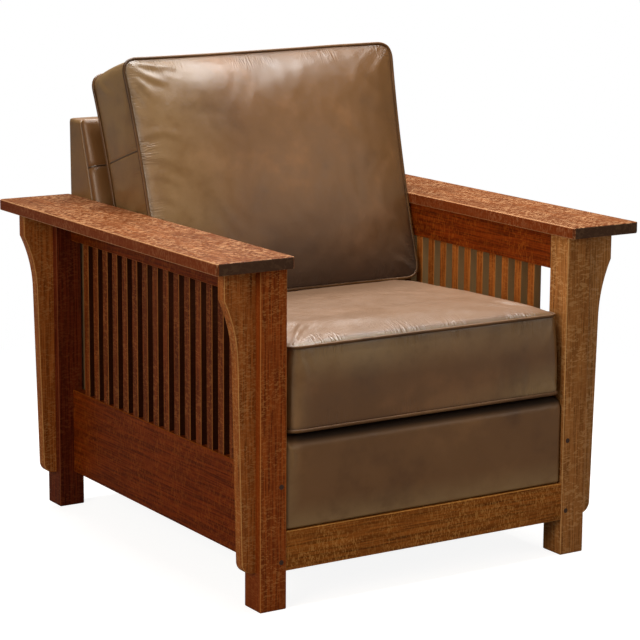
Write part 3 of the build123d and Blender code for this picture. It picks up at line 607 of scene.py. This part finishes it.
def toWorld(place, points):
    return points @ np.array(place.to_3x3()).T + np.array(place.translation)


seatSlope, backSlope = -3.0, 72.5
seatPlace = slopedPlace((0, -0.423, 0.3263), seatSlope)
backPlace = slopedPlace((0, 0.1886, 0.4355), backSlope)
bedLooks = {"front": 0.057, "height": 0.4769, "fall": 0.0963}
crossSeamLean = 0.012        # a boxing's cross seam leans back this much on its way up
hideLooseness = {"ripples": 0.4, "quiet": 0.04}     # ripples beside the slack, and how far a seam holds both


def bedHeight(y):
    # the level on which the back cushion stands, just over the seat cushion's crown
    return bedLooks["height"] - bedLooks["fall"] * (y - bedLooks["front"])


def makeCushion(name, looks, place, tweak, still, limit):
    # one leather case: foot panel at z = 0, top panel at the height, boxing between
    nx, ny, nz = looks["cells"]
    places, faces, index = boxLattice(nx, ny, nz)
    column, row, layer = places.T
    isTop, isFoot = layer == nz, layer == 0
    atSide, atEnd = (column == 0) | (column == nx), (row == 0) | (row == ny)
    rim = atSide | atEnd
    onBand = rim & ~isTop & ~isFoot
    # s and u run -1 to 1 across and along, t and w 0 to 1 along and up; rows lie closer towards the seams
    even = (column / nx * 2 - 1, row / ny * 2 - 1)
    s, u = (np.sign(v) * (1 - (1 - np.abs(v)) ** looks["crowding"]) for v in even)
    t, w = (1 + u) / 2, layer / nz
    half, length, height = looks["half"], looks["length"], looks["height"]
    x, y = roundPlan(s * half, t * length, half, length, looks["corner"])
    # sides and ends drawn in between the corners
    x *= 1 - looks["pull"] / half * np.sin(np.pi * t) ** 0.7
    y = length / 2 + (y - length / 2) * (1 - looks["endPull"] / (length / 2) * np.cos(np.pi * s / 2) ** 0.7)
    dome = swell(s, *looks["dome"]) * swell(u, *looks["dome"])
    z = w * height + isTop * looks["crown"] * dome - isFoot * looks["footCrown"] * dome
    # the boxing bellies outwards
    belly = looks["bulge"] * np.sin(np.pi * w) ** 0.8 * rim
    outX, outY = (column == nx) * 1.0 - (column == 0), (row == ny) * 1.0 - (row == 0)
    norm = np.maximum(np.hypot(outX, outY), 1)
    points = tweak(np.stack([x + belly * outX / norm, y + belly * outY / norm, z], 1), s, t, w)
    x, y, z = points.T
    piece = meshObject(name, toWorld(place, points), faces, stains["cushionHide"])
    seams = [[index[p] for p in seamRing(nx, ny, k)] for k in (nz, 0)]
    held = still(places)
    held[sum(seams, [])] = looks["seamHold"]
    inflate(piece, held, looks["cap"], looks["pressure"], limit)
    # how far each point is from the nearest seam, over the skin, and its place along it, each seam apart
    toSide, toEnd = half * (1 - np.abs(s)), length / 2 * (1 - np.abs(u))
    away = np.where(rim, np.minimum(w, 1 - w) * height, np.minimum(toSide, toEnd))
    along = np.where(toSide < toEnd, y + 3 * (s > 0) + 7, x + 5 * (t > 0.5) + 13)
    along = np.where(onBand & atSide, y + 3 * (s > 0) + 21, along)
    storeValues(piece.data, "seamPlace", np.stack([along, away, np.zeros_like(along)], 1))
    leaning = looks["crossSeam"] + crossSeamLean * w
    storeValues(piece.data, "crossSeam", np.where(onBand & atSide, t * length - leaning, 1.0))
    # folds, along the skin's own normals
    lift = np.zeros(len(points))
    up = w * height
    for where, across, onward, folds in (
        (isTop & ~rim, x, y, "topFolds"), (onBand & (row == 0), x, up, "frontFolds"),
        (onBand & (column == 0), y, up, "sideFolds"),
    ):
        lift += where * foldHeights(across / mm, onward / mm, looks[folds]) * mm
    # slow slack in the hide, 200 mm from crest to crest, and ripples of 65 to 120 mm on it, none at the seams
    slack = np.sin(x * 31 + 1.3 * np.sin(y * 23)) * np.sin(y * 27 + 0.8 + z * 9)
    ripple = np.sin(x * 96 + 2.2 * np.sin(y * 37 + 1)) * np.sin(y * 52 + 1.7 * np.sin(x * 43) + 2)
    loose = looks["slack"] * (slack + hideLooseness["ripples"] * ripple)
    lift += loose * fade(away, 0, hideLooseness["quiet"])
    writePoints(piece.data, limit(readPoints(piece.data) + readPoints(piece.data, "normal") * lift[:, None]))
    loops = [readPoints(piece.data)[seam] for seam in seams]
    smoothing = piece.modifiers.new("smooth", "SUBSURF")
    smoothing.levels = smoothing.render_levels = 1
    finished = settledMesh(piece)
    piece.modifiers.clear()
    piece.data = finished
    return piece, loops


# seat cushion; folds are lines of points on the panel, each with its height and width, all in mm

seatCushionLooks = {
    "half": 0.3045, "length": 0.623, "height": 0.1505, "corner": 0.024, "pull": 0.003, "endPull": 0.002,
    "crown": 0.026, "footCrown": 0.0, "bulge": 0.004, "cells": (92, 84, 22), "dome": (9.0, 0.48),
    "seamHold": 1.0, "cap": 0.004, "pressure": 4.0, "crowding": 1.3, "slack": 0.0008, "crossSeam": 0.50,
    "topNarrower": 0.014, "rearSink": 0.006, "widest": 0.3108, "foremost": -0.4285, "underBed": 0.0009,
    "topFolds": [
        ([(-292, 8), (-262, 40), (-240, 78)], 2.2, 7), ([(-288, 4), (-240, 22), (-205, 30)], 1.8, 6),
        ([(290, 8), (262, 34), (246, 70)], 1.2, 8),
        ([(-120, 60), (-60, 74), (10, 70)], 0.8, 12), ([(120, 90), (60, 130), (-10, 140)], 0.7, 14),
    ],
    "frontFolds": [
        ([(-286, 140), (-274, 112), (-268, 84)], 1.6, 6), ([(-268, 144), (-254, 122), (-248, 104)], 1.2, 6),
        ([(150, 8), (154, 44), (150, 84)], 1.2, 9), ([(206, 6), (212, 40), (208, 66)], 1.4, 8),
        ([(296, 6), (280, 26), (268, 38)], 1.8, 6), ([(290, 4), (266, 14), (250, 18)], 1.4, 6),
        ([(288, 146), (276, 120), (272, 96)], 1.2, 7),
    ],
    "sideFolds": [([(40, 140), (60, 100), (64, 70)], 1.4, 8)],
}


def tweakSeat(points, s, t, w):
    # the top is a little narrower than the foot, and the crown sinks under the back cushion
    points[:, 0] *= 1 - seatCushionLooks["topNarrower"] * w
    points[:, 2] -= seatCushionLooks["rearSink"] * fade(points[:, 1], 0.40, 0.2) * (w > 0.99)
    return points


def stillSeat(places):
    # the foot panel lies on the deck
    return (places[:, 2] == 0).astype(float)


def limitSeat(points):
    x, y, z = points.T
    x = np.clip(x, -seatCushionLooks["widest"], seatCushionLooks["widest"])
    z = np.minimum(z, bedHeight(y) - seatCushionLooks["underBed"])
    return np.stack([x, np.maximum(y, seatCushionLooks["foremost"]), z], 1)


seatCushion, seatSeams = makeCushion("seatCushion", seatCushionLooks, seatPlace,
                                     tweakSeat, stillSeat, limitSeat)
# the front face is painted paler, low on the right, high on the left and down its left edge, as a painted
# reflection of the floor and light
x, y, z = readPoints(seatCushion.data).T
low = 0.9 * fade(z, 0.375, -0.05) * fade(x, -0.05, 0.30)
low += 0.4 * fade(z, 0.40, -0.03) * fade(x, 0.14, 0.12)
high = (0.45 + 0.35 * fade(x, 0.05, -0.15)) * fade(z, 0.405, 0.05)
edge = 0.55 * fade(x, -0.2545, -0.05)
storeValues(seatCushion.data, "wearAndPaintedLight", (y < -0.405) * np.maximum.reduce([low, high, edge]))
print("seat cushion made")

# back cushion

backCushionLooks = {
    "half": 0.3035, "length": 0.482, "height": 0.138, "corner": 0.030, "pull": 0.004, "endPull": 0.003,
    "crown": 0.039, "footCrown": 0.038, "bulge": 0.003, "cells": (92, 74, 20), "dome": (3.6, 0.68),
    "seamHold": 1.0, "cap": 0.006, "pressure": 4.0, "crowding": 1.3, "slack": 0.0010, "crossSeam": 0.292,
    "pressedFoot": 0.029, "spread": 0.020, "rightEar": 0.015, "topEars": 0.013,
    "betweenArms": 0.3065, "armsEnd": 0.66, "leftmost": -0.3165, "rightmost": 0.3290, "overBed": 0.0004,
    "topFolds": [
        ([(-296, 470), (-262, 446), (-226, 428)], 3.0, 7), ([(-298, 462), (-276, 428), (-262, 396)], 2.6, 7),
        ([(-292, 476), (-244, 468), (-196, 462)], 2.0, 7), ([(-300, 440), (-282, 404), (-272, 372)], 1.6, 7),
        ([(-300, 330), (-250, 334), (-206, 312)], 1.9, 7), ([(-300, 290), (-262, 280), (-226, 262)], 1.7, 7),
        ([(-300, 255), (-264, 246), (-232, 226)], 1.7, 6), ([(-300, 215), (-268, 204), (-236, 186)], 1.4, 6),
        ([(296, 14), (262, 34), (230, 44)], 2.2, 7), ([(298, 22), (276, 56), (262, 88)], 1.8, 7),
        ([(294, 470), (270, 440), (250, 424)], 1.4, 8), ([(-120, 12), (-112, 44), (-96, 66)], 0.9, 9),
        ([(140, 12), (130, 40), (112, 60)], 0.9, 9),
    ],
    "frontFolds": [],
    "sideFolds": [
        ([(470, 20), (440, 50), (420, 90)], 1.6, 8), ([(440, 128), (400, 116), (372, 112)], 1.5, 8),
        ([(200, 120), (190, 80), (200, 50)], 1.4, 9), ([(250, 20), (240, 60), (244, 90)], 1.2, 9),
    ],
}


def tweakBack(points, s, t, w):
    # the foot is pressed level on the seat cushion, and the upper corners stand out as ears
    looks = backCushionLooks
    foot = looks["pressedFoot"] * fade(points[:, 2], looks["height"], -looks["height"])
    points[:, 1] = foot + points[:, 1] * (looks["length"] - foot) / looks["length"]
    points[:, 0] *= 1 + looks["spread"] * t ** 4
    points[:, 0] += looks["rightEar"] * t ** 1.3 * np.clip(s, 0, 1)
    points[:, 1] += looks["topEars"] * t ** 4 * (0.30 + 0.70 * np.clip(s * 0.7 + 0.6, 0, 1))
    return points


def stillBack(places):
    # the rear panel leans on the inside back, and the foot stands on the seat cushion
    return ((places[:, 2] == 0) | (places[:, 1] == 0)).astype(float)


def limitBack(points):
    looks = backCushionLooks
    x, y, z = points.T
    narrow = np.clip(x, -looks["betweenArms"], looks["betweenArms"])
    x = np.where(z < looks["armsEnd"], narrow, np.clip(x, looks["leftmost"], looks["rightmost"]))
    return np.stack([x, y, np.maximum(z, bedHeight(y) + looks["overBed"])], 1)


backCushion, backSeams = makeCushion("backCushion", backCushionLooks, backPlace,
                                     tweakBack, stillBack, limitBack)
# paler along the left boxing and the upper left, part rubbing and part painted light from the left, and
# painted shade towards the foot, where the seat shades it
x, y, z = readPoints(backCushion.data).T
boxing = 0.75 * fade(x, -0.302, -0.004)
left = 0.55 * fade(x, -0.10, -0.16) * fade(z, 0.50, 0.12)
shaded = 0.34 * fade(z, 0.69, -0.08) * fade(x, -0.19, 0.14) + 0.34 * fade(z, 0.59, -0.09)
storeValues(backCushion.data, "wearAndPaintedLight", np.maximum(boxing, left) - shaded)
print("back cushion made")

# welts: a cord covered in hide, sewn in all round each panel

weltCordLooks = {"Radius": 0.0031, "Step": 0.006, "Sides": 8}
weltStandsOut = 0.0012       # how far the cord's middle lies outside the seam


def makeCordTree():
    tree = bpy.data.node_groups.new("weltCord", "GeometryNodeTree")
    tree.interface.new_socket("Geometry", in_out="INPUT", socket_type="NodeSocketGeometry")
    tree.interface.new_socket("Geometry", in_out="OUTPUT", socket_type="NodeSocketGeometry")
    for label, kind in (("Radius", "Float"), ("Step", "Float"), ("Sides", "Int"), ("Material", "Material")):
        tree.interface.new_socket(label, in_out="INPUT", socket_type="NodeSocket" + kind)
    given, output = addNode(tree, "NodeGroupInput").outputs, addNode(tree, "NodeGroupOutput")
    even = addNode(tree, "GeometryNodeResampleCurve", {
        "Curve": given["Geometry"], "Length": given["Step"]}, out=0, mode="LENGTH")
    profile = addNode(tree, "GeometryNodeCurvePrimitiveCircle", {
        "Radius": given["Radius"], "Resolution": given["Sides"]}, out=0)
    tube = addNode(tree, "GeometryNodeCurveToMesh", {
        "Curve": even, "Profile Curve": profile, "Fill Caps": True}, out=0)
    smooth = addNode(tree, "GeometryNodeSetShadeSmooth", (tube,), out=0)
    real = addNode(tree, "GeometryNodeRealizeInstances", (smooth,), out=0)
    covered = addNode(tree, "GeometryNodeSetMaterial", {"Geometry": real, "Material": given["Material"]})
    tree.links.new(covered.outputs[0], output.inputs[0])
    return tree


cordTree = makeCordTree()


def weltPath(loop, centre):
    # just outside the seam, square to its run, and smoothed twice
    away = loop - centre
    away /= np.linalg.norm(away, axis=1, keepdims=True)
    ahead = np.roll(loop, -1, 0) - np.roll(loop, 1, 0)
    ahead /= np.linalg.norm(ahead, axis=1, keepdims=True)
    away -= (away * ahead).sum(1, keepdims=True) * ahead
    away /= np.linalg.norm(away, axis=1, keepdims=True)
    path = loop + away * weltStandsOut
    for _ in range(2):
        path = (np.roll(path, 1, 0) + 2 * path + np.roll(path, -1, 0)) / 4
    return path


def layWelts(name, paths):
    curve = bpy.data.curves.new(name + "Path", "CURVE")
    curve.dimensions = "3D"
    for path in paths:
        spline = curve.splines.new("POLY")
        spline.points.add(len(path) - 1)
        for point, place in zip(spline.points, path):
            point.co = (*place, 1.0)
        spline.use_cyclic_u = True
    line = bpy.data.objects.new(name, curve)
    bpy.context.scene.collection.objects.link(line)
    rule = line.modifiers.new("rule", "NODES")
    rule.node_group = cordTree
    values = {**weltCordLooks, "Material": stains["weltHide"]}
    for item in cordTree.interface.items_tree:
        if item.in_out == "INPUT" and item.name in values:
            rule[item.identifier] = values[item.name]
    mesh = settledMesh(line)
    bpy.data.objects.remove(line)
    piece = bpy.data.objects.new(name, mesh)
    bpy.context.scene.collection.objects.link(piece)
    return piece


for cushion, body, loops, nodes in (
    (seatCushion, "seat_cushion", seatSeams, ("seat_cushion_casing", "seat_cushion_core")),
    (backCushion, "back_cushion", backSeams, ("back_cushion_casing", "back_cushion_core")),
):
    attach(cushion, body)
    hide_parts(*nodes)
    centre = readPoints(cushion.data).mean(0)
    paths = [weltPath(loop, centre) for loop in loops]
    lengths = [float(np.linalg.norm(np.diff(path, axis=0, append=path[:1]), axis=1).sum()) for path in paths]
    print("welts of", cushion.name, [round(length, 3) for length in lengths])
    cord = layWelts(cushion.name + "Welts", paths)
    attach(cord, body)
print("welts laid")


# pads on the frame: a box with round edges whose front can be crowned

def makePad(name, half, length, depth, radius, cells, crown, crossSeam, place, reshape, stain):
    places, faces, index = boxLattice(*cells)
    low, high = np.array([-half, 0, 0]), np.array([half, length, depth])
    box = low + places / np.array(cells) * (high - low)
    inner = np.clip(box, low + radius, high - radius)
    away = box - inner
    far = np.linalg.norm(away, axis=1, keepdims=True)
    points = inner + away / np.maximum(far, 1e-9) * np.where(far > 0, radius, 0)
    dome = swell(points[:, 0] / half) * swell(points[:, 1] / length * 2 - 1)
    points[:, 2] += crown * dome * np.clip(points[:, 2] / depth, 0, 1) ** 2
    fromSeam = points[:, 1] - crossSeam
    pad = meshObject(name, toWorld(place, reshape(points)), faces, stains[stain])
    storeValues(pad.data, "crossSeam", fromSeam)
    return pad


# front border: leather over a padded board, rolled over at the top and tucked in at the sides

frontBorderLooks = {
    "half": 0.3119, "foot": 0.1449, "front": -0.4180, "rear": -0.3920, "top": 0.3141, "roll": 0.022,
    "tuck": 0.006, "puff": 0.0035, "columns": 110, "footRows": 6, "faceRows": 35, "rollRows": 10,
    "crowding": 1.35, "sideTuck": 0.008, "sideDepth": 0.007, "sideDrop": 0.004,
    "folds": [
        ([(-308, 158), (-298, 144), (-292, 124)], 2.4, 4), ([(-306, 152), (-290, 146), (-274, 142)], 1.8, 4),
        ([(-307, 146), (-298, 128), (-296, 108)], 1.4, 4), ([(300, 158), (290, 144), (284, 132)], 1.2, 6),
        ([(-60, 20), (-56, 60), (-60, 90)], 0.5, 14), ([(150, 12), (146, 46), (152, 70)], 0.6, 14),
    ],
}


def borderProfile(looks):
    # from the tucked foot, up the face and over the roll
    front, foot, tuck, roll = (looks[key] for key in ("front", "foot", "tuck", "roll"))
    turns = np.pi / 2 * np.arange(looks["footRows"] + 1) / looks["footRows"]
    low = [(front + tuck - tuck * math.sin(a), foot + tuck - tuck * math.cos(a)) for a in turns]
    start, rise = foot + tuck, looks["top"] - roll
    face = [(front, start + (rise - start) * i / looks["faceRows"]) for i in range(1, looks["faceRows"] + 1)]
    turns = np.pi / 2 * np.arange(1, looks["rollRows"] + 1) / looks["rollRows"]
    over = [(front + roll - roll * math.cos(a), rise + roll * math.sin(a)) for a in turns]
    return np.array(low + face + over + [(looks["rear"], looks["top"])])


def makeFrontBorder(looks):
    profile = borderProfile(looks)
    nx, count = looks["columns"], len(profile)
    s = np.arange(nx + 1) / nx * 2 - 1
    s = np.repeat(np.sign(s) * (1 - (1 - np.abs(s)) ** looks["crowding"]), count)
    y, z = np.tile(profile, (nx + 1, 1)).T
    edge = fade(np.abs(s) * looks["half"], looks["half"] - looks["sideTuck"], looks["sideTuck"]) ** 2.2
    up = (z - looks["foot"]) / (looks["top"] - looks["foot"])
    puff = looks["puff"] * (1 - np.abs(s) ** 6) * np.sin(np.pi * np.clip(up, 0, 1)) ** 0.5
    y = y - puff + looks["sideDepth"] * edge
    z = z - looks["sideDrop"] * edge * up
    y = y - foldHeights(s * looks["half"] / mm, (z - looks["foot"]) / mm, looks["folds"]) * mm
    points = np.stack([s * looks["half"], y, z], 1)
    faces = []
    for i in range(nx):
        for j in range(count - 1):
            a = i * count + j
            faces.append((a, a + count, a + count + 1, a + 1))
    # a rear sheet and four strips close the shape
    base = len(points)
    rear = points.copy()
    rear[:, 1] = np.maximum(rear[:, 1], looks["rear"] - 0.0005)
    rear[:, 2] = np.minimum(rear[:, 2], looks["top"] - 0.001)
    faces += [tuple(base + v for v in reversed(face)) for face in faces]
    for i in range(nx):
        for j in (0, count - 1):
            a, b = i * count + j, (i + 1) * count + j
            faces.append((a, a + base, b + base, b) if j == 0 else (b, b + base, a + base, a))
    for j in range(count - 1):
        for i in (0, nx):
            a, b = i * count + j, i * count + j + 1
            faces.append((b, b + base, a + base, a) if i == 0 else (a, a + base, b + base, b))
    piece = meshObject("frontBorder", np.concatenate([points, rear]), faces, stains["hide"])
    turnOutwards(piece.data)
    return piece


frontBorder = makeFrontBorder(frontBorderLooks)
# painted paler along the foot and at the left edge as a reflection of the floor, and painted shade in the gap
# under the seat cushion
x, y, z = readPoints(frontBorder.data).T
scuffAndSheen = np.maximum(fade(z, 0.1999, -0.055) ** 1.3, 0.7 * fade(x, -0.2769, -0.035))
storeValues(frontBorder.data, "wearAndPaintedLight", scuffAndSheen - fade(z, 0.2985, 0.010))
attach(frontBorder, "frame")
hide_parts("front_border_cover")
print("front border made")

# inside back: a crowned pad on the rake, its sides and top rounded

insideBackLooks = {"half": 0.3078, "length": 0.5312, "depth": 0.0178, "radius": 0.008, "cells": (90, 80, 5),
                   "crown": 0.0235, "crossSeam": 0.432}
seamGrooveLooks = {"depth": 0.0026, "width": 0.006, "above": 0.004, "sideFrom": 0.300, "sideShare": 0.8}
insideBackPlace = slopedPlace((0, 0.2339, 0.2959), backSlope)


def shapeInsideBack(points):
    # one seam runs across a little below the top, in a groove that goes on round the sides
    away = points[:, 1] - insideBackLooks["crossSeam"]
    looks = seamGrooveLooks
    groove = looks["depth"] * np.exp(-(away / looks["width"]) ** 2)
    points[:, 2] -= groove * (points[:, 2] > looks["above"])
    atSide = np.abs(points[:, 0]) > looks["sideFrom"]
    points[:, 0] -= np.sign(points[:, 0]) * groove * looks["sideShare"] * atSide
    return points


insideBack = makePad("insideBack", **insideBackLooks, place=insideBackPlace, reshape=shapeInsideBack,
                     stain="hide")
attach(insideBack, "frame")
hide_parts("inside_back_cover", "inside_back_padding")

# outside back: one leather skin over the panels, sewn at its upright edges

backShellLooks = {"half": 0.3080, "rear": 0.4410, "foot": 0.1449, "top": 0.8030, "radius": 0.005,
                  "cells": (72, 30, 90), "puff": 0.0012, "sideInset": 0.0008, "edgeWear": 0.4,
                  "edgeFrom": 0.300, "boxDepth": 0.08}
backFrontLooks = {"atTop": 0.3922, "upright": 0.2095}     # y of the front at the top, and below the seat


def makeBackShell(looks):
    places, faces, index = boxLattice(*looks["cells"])
    nx, ny, nz = looks["cells"]
    s, t, w = places[:, 0] / nx * 2 - 1, places[:, 1] / ny, places[:, 2] / nz
    height, depth, r = looks["top"] - looks["foot"], looks["boxDepth"], looks["radius"]
    # a plain box with round edges first, then its depth drawn out from the raked front to the rear
    box = np.stack([s * looks["half"], t * depth, w * height], 1)
    low, high = np.array([-looks["half"], 0, 0]) + r, np.array([looks["half"], depth, height]) - r
    inner = np.clip(box, low, high)
    away = box - inner
    far = np.linalg.norm(away, axis=1, keepdims=True)
    points = inner + away / np.maximum(far, 1e-9) * np.where(far > 0, r, 0)
    x, z = points[:, 0], looks["foot"] + points[:, 2]
    raked = backFrontLooks["atTop"] - (looks["top"] - z) / math.tan(math.radians(backSlope))
    front = np.maximum(raked, backFrontLooks["upright"])
    y = front + points[:, 1] / depth * (looks["rear"] - front)
    # the skin puffs a little between its seams
    side = np.abs(s) > 0.999
    puff = looks["puff"] * 0.6 * np.sin(np.pi * np.clip(t, 0, 1)) * fade(z, 0.40, 0.40)
    x = x + np.sign(x) * side * (puff - looks["sideInset"])
    y = y + looks["puff"] * (t > 0.999) * swell(s) * np.sin(np.pi * np.clip(w, 0, 1))
    return meshObject("backShell", np.stack([x, y, z], 1), faces, stains["hide"])


backShell = makeBackShell(backShellLooks)
nearEdge = np.abs(readPoints(backShell.data)[:, 0]) > backShellLooks["edgeFrom"]
storeValues(backShell.data, "wearAndPaintedLight", backShellLooks["edgeWear"] * nearEdge)
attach(backShell, "frame")
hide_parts("back_left_cover", "back_right_cover", "back_top_cover", "outside_back_cover")
print("upholstered back made")

# seat deck: the cloth-covered pad under the seat cushion, with its sides turned down over the seat rails

deckLooks = {"half": 0.3119, "length": 0.5995, "depth": 0.0165, "radius": 0.004, "cells": (60, 58, 3),
             "crown": 0.0, "crossSeam": 9.0}     # a seam 9 m away is no seam
skirtLooks = {"inner": 0.3128, "thickness": 0.0016, "front": -0.366, "run": 0.574, "foot": 0.2466,
              "cells": (1, 60, 8), "rise": 0.012}
deckFront, deckHeight, deckLevel = -0.3925, 0.3074, 0.0164
deckPlace = slopedPlace((0, deckFront, deckHeight), seatSlope)


def shapeDeck(points):
    points[:, 2] = np.minimum(points[:, 2], deckLevel)
    return points


def makeSkirt(looks, side):
    places, faces, index = boxLattice(*looks["cells"])
    share = places / np.array(looks["cells"])
    x = side * (looks["inner"] + share[:, 0] * looks["thickness"])
    y = looks["front"] + share[:, 1] * looks["run"]
    top = deckHeight + (y - deckFront) * math.tan(math.radians(seatSlope)) + looks["rise"]
    z = looks["foot"] + share[:, 2] * (top - looks["foot"])
    skirt = meshObject("deckSkirt", np.stack([x, y, z], 1), faces, stains["deckCloth"])
    turnOutwards(skirt.data)
    return skirt


seatDeck = makePad("seatDeck", **deckLooks, place=deckPlace, reshape=shapeDeck, stain="deckCloth")
skirts = [makeSkirt(skirtLooks, side) for side in (-1, 1)]
with bpy.context.temp_override(active_object=seatDeck, selected_editable_objects=[seatDeck] + skirts):
    bpy.ops.object.join()
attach(seatDeck, "frame")
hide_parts("seat_deck_cover", "seat_deck_pad")
print("seat deck made")

# floor: matt white paper that fades into the backdrop and keeps a faint shadow

floorLooks = {"size": 9.0, "albedo": "#9A9A98", "lift": 0.90, "mirrored": "#7C5C3A", "sink": 0.0004,
              "fadeFrom": 0.75, "fadeTo": 1.9}
backdropShare = 0.12     # how much of the white backdrop the satin surfaces pick up
white = (1, 1, 1, 1)


def seenShare(tree):
    # 1 for the camera and through glass, less in reflections
    light = addNode(tree, "ShaderNodeLightPath").outputs
    seen = addNode(tree, **add, inputs=(light["Is Camera Ray"], light["Is Transmission Ray"]))
    seen = addNode(tree, **multiplyAdd, inputs=(light["Is Glossy Ray"], backdropShare, seen))
    return addNode(tree, **lesser, inputs=(seen, 1.0))


def makePaleFloor(looks):
    material, tree, surface = newMaterial("paleFloor", Roughness=0.9, Specular_IOR_Level=0.0)
    # in reflections the floor is darker and warmer, so that the leather keeps its brown
    mirrored = addNode(tree, "ShaderNodeLightPath", out="Is Glossy Ray")
    colour = addNode(tree, **mixRgb, inputs={
        0: mirrored, 6: linearColour(looks["albedo"]), 7: linearColour(looks["mirrored"])})
    tree.links.new(colour, surface.inputs["Base Color"])
    seen = seenShare(tree)
    lift = addNode(tree, "ShaderNodeEmission", {"Color": white, "Strength": looks["lift"]}, out=0)
    lifted = addNode(tree, "ShaderNodeAddShader", (surface.outputs[0], lift), out=0)
    near = addNode(tree, "ShaderNodeMixShader", (seen, surface.outputs[0], lifted), out=0)
    # far out the paper is plain white
    coords = addNode(tree, "ShaderNodeTexCoord", out="Object")
    far = addNode(tree, "ShaderNodeVectorMath", (coords,), out="Value", operation="LENGTH")
    fading = addNode(tree, **softRange, inputs=(far, looks["fadeFrom"], looks["fadeTo"]))
    fading = addNode(tree, **multiply, inputs=(fading, seen))
    glow = addNode(tree, "ShaderNodeEmission", {"Color": white, "Strength": 1.0}, out=0)
    whole = addNode(tree, "ShaderNodeMixShader", (fading, near, glow), out=0)
    # from below the floor isn't there, so that the underside can be looked at
    below = addNode(tree, "ShaderNodeNewGeometry", out="Backfacing")
    clear = addNode(tree, "ShaderNodeBsdfTransparent", out=0)
    sheet = addNode(tree, "ShaderNodeMixShader", (below, whole, clear), out=0)
    tree.links.new(sheet, tree.nodes["Material Output"].inputs["Surface"])
    return material


corners = np.array([(-1, -1, 0), (1, -1, 0), (1, 1, 0), (-1, 1, 0)]) * floorLooks["size"]
floor = meshObject("studioFloor", corners - (0, 0, floorLooks["sink"]), [(0, 1, 2, 3)],
                   makePaleFloor(floorLooks), smooth=False)

# world: white to the camera, and a dim warm fill to everything else

worldLooks = {"fill": "#F2D6B0", "strength": 0.14}
world = bpy.data.worlds.new("studio")
bpy.context.scene.world = world
world.use_nodes = True
tree = world.node_tree
background = tree.nodes["Background"].inputs
seen = seenShare(tree)
tone = addNode(tree, **mixRgb, inputs={0: seen, 6: linearColour(worldLooks["fill"]), 7: white})
tree.links.new(tone, background["Color"])
strength = addNode(tree, **evenRange, inputs=(seen, 0.0, 1.0, worldLooks["strength"], 1.0))
tree.links.new(strength, background["Strength"])

# lamps: two long softboxes overhead and two square ones beside the camera; aimed ones face the chair

lampLooks = {
    "overFront": {"place": (0.2, -0.35, 2.7), "size": (2.0, 0.65), "power": 68.0, "colour": "#FFFEFC",
                  "aimed": False},
    "overRear": {"place": (0.1, 1.15, 2.6), "size": (1.8, 0.6), "power": 44.0, "colour": "#FFFEFC",
                 "aimed": True},
    "right": {"place": (2.6, -3.4, 1.9), "size": (1.8, 1.8), "power": 18.0, "colour": "#FFF4E6",
              "aimed": True},
    "left": {"place": (-3.5, -1.6, 1.9), "size": (1.7, 1.7), "power": 62.0, "colour": "#FFF0DE",
             "aimed": True},
}
chairMiddle = Vector((0, 0, 0.45))
for name, looks in lampLooks.items():
    lamp = bpy.data.lights.new(name + "Softbox", "AREA")
    lamp.shape = "RECTANGLE"
    lamp.size, lamp.size_y = looks["size"]
    lamp.energy = looks["power"]
    lamp.color = linearColour(looks["colour"])[:3]
    holder = bpy.data.objects.new(name + "Softbox", lamp)
    holder.location = looks["place"]
    if looks["aimed"]:
        holder.rotation_euler = (chairMiddle - Vector(looks["place"])).to_track_quat("-Z", "Y").to_euler()
    bpy.context.scene.collection.objects.link(holder)

# camera: fitted to the feet, arm corners, rails and plugs; angles in degrees, lens in mm

cameraLooks = {"place": (-2.3741, -3.7727, 1.3230), "yaw": 32.446, "pitch": -11.378, "roll": 0.362,
               "lens": 128.433}
yaw, pitch, roll = (math.radians(cameraLooks[key]) for key in ("yaw", "pitch", "roll"))
ahead = Vector((math.sin(yaw) * math.cos(pitch), math.cos(yaw) * math.cos(pitch), math.sin(pitch)))
right = Vector((math.cos(yaw), -math.sin(yaw), 0))
up = right.cross(ahead)
right, up = math.cos(roll) * right + math.sin(roll) * up, math.cos(roll) * up - math.sin(roll) * right
lens = bpy.data.cameras.new("photoCamera")
lens.lens = cameraLooks["lens"]
lens.sensor_width = 36.0
lens.clip_start, lens.clip_end = 0.1, 60.0
camera = bpy.data.objects.new("photoCamera", lens)
turned = Matrix((right, up, -ahead)).transposed().to_4x4()
camera.matrix_world = Matrix.Translation(cameraLooks["place"]) @ turned
bpy.context.scene.collection.objects.link(camera)
bpy.context.scene.camera = camera
bpy.context.scene.view_settings.view_transform = "Standard"
print("studio set")
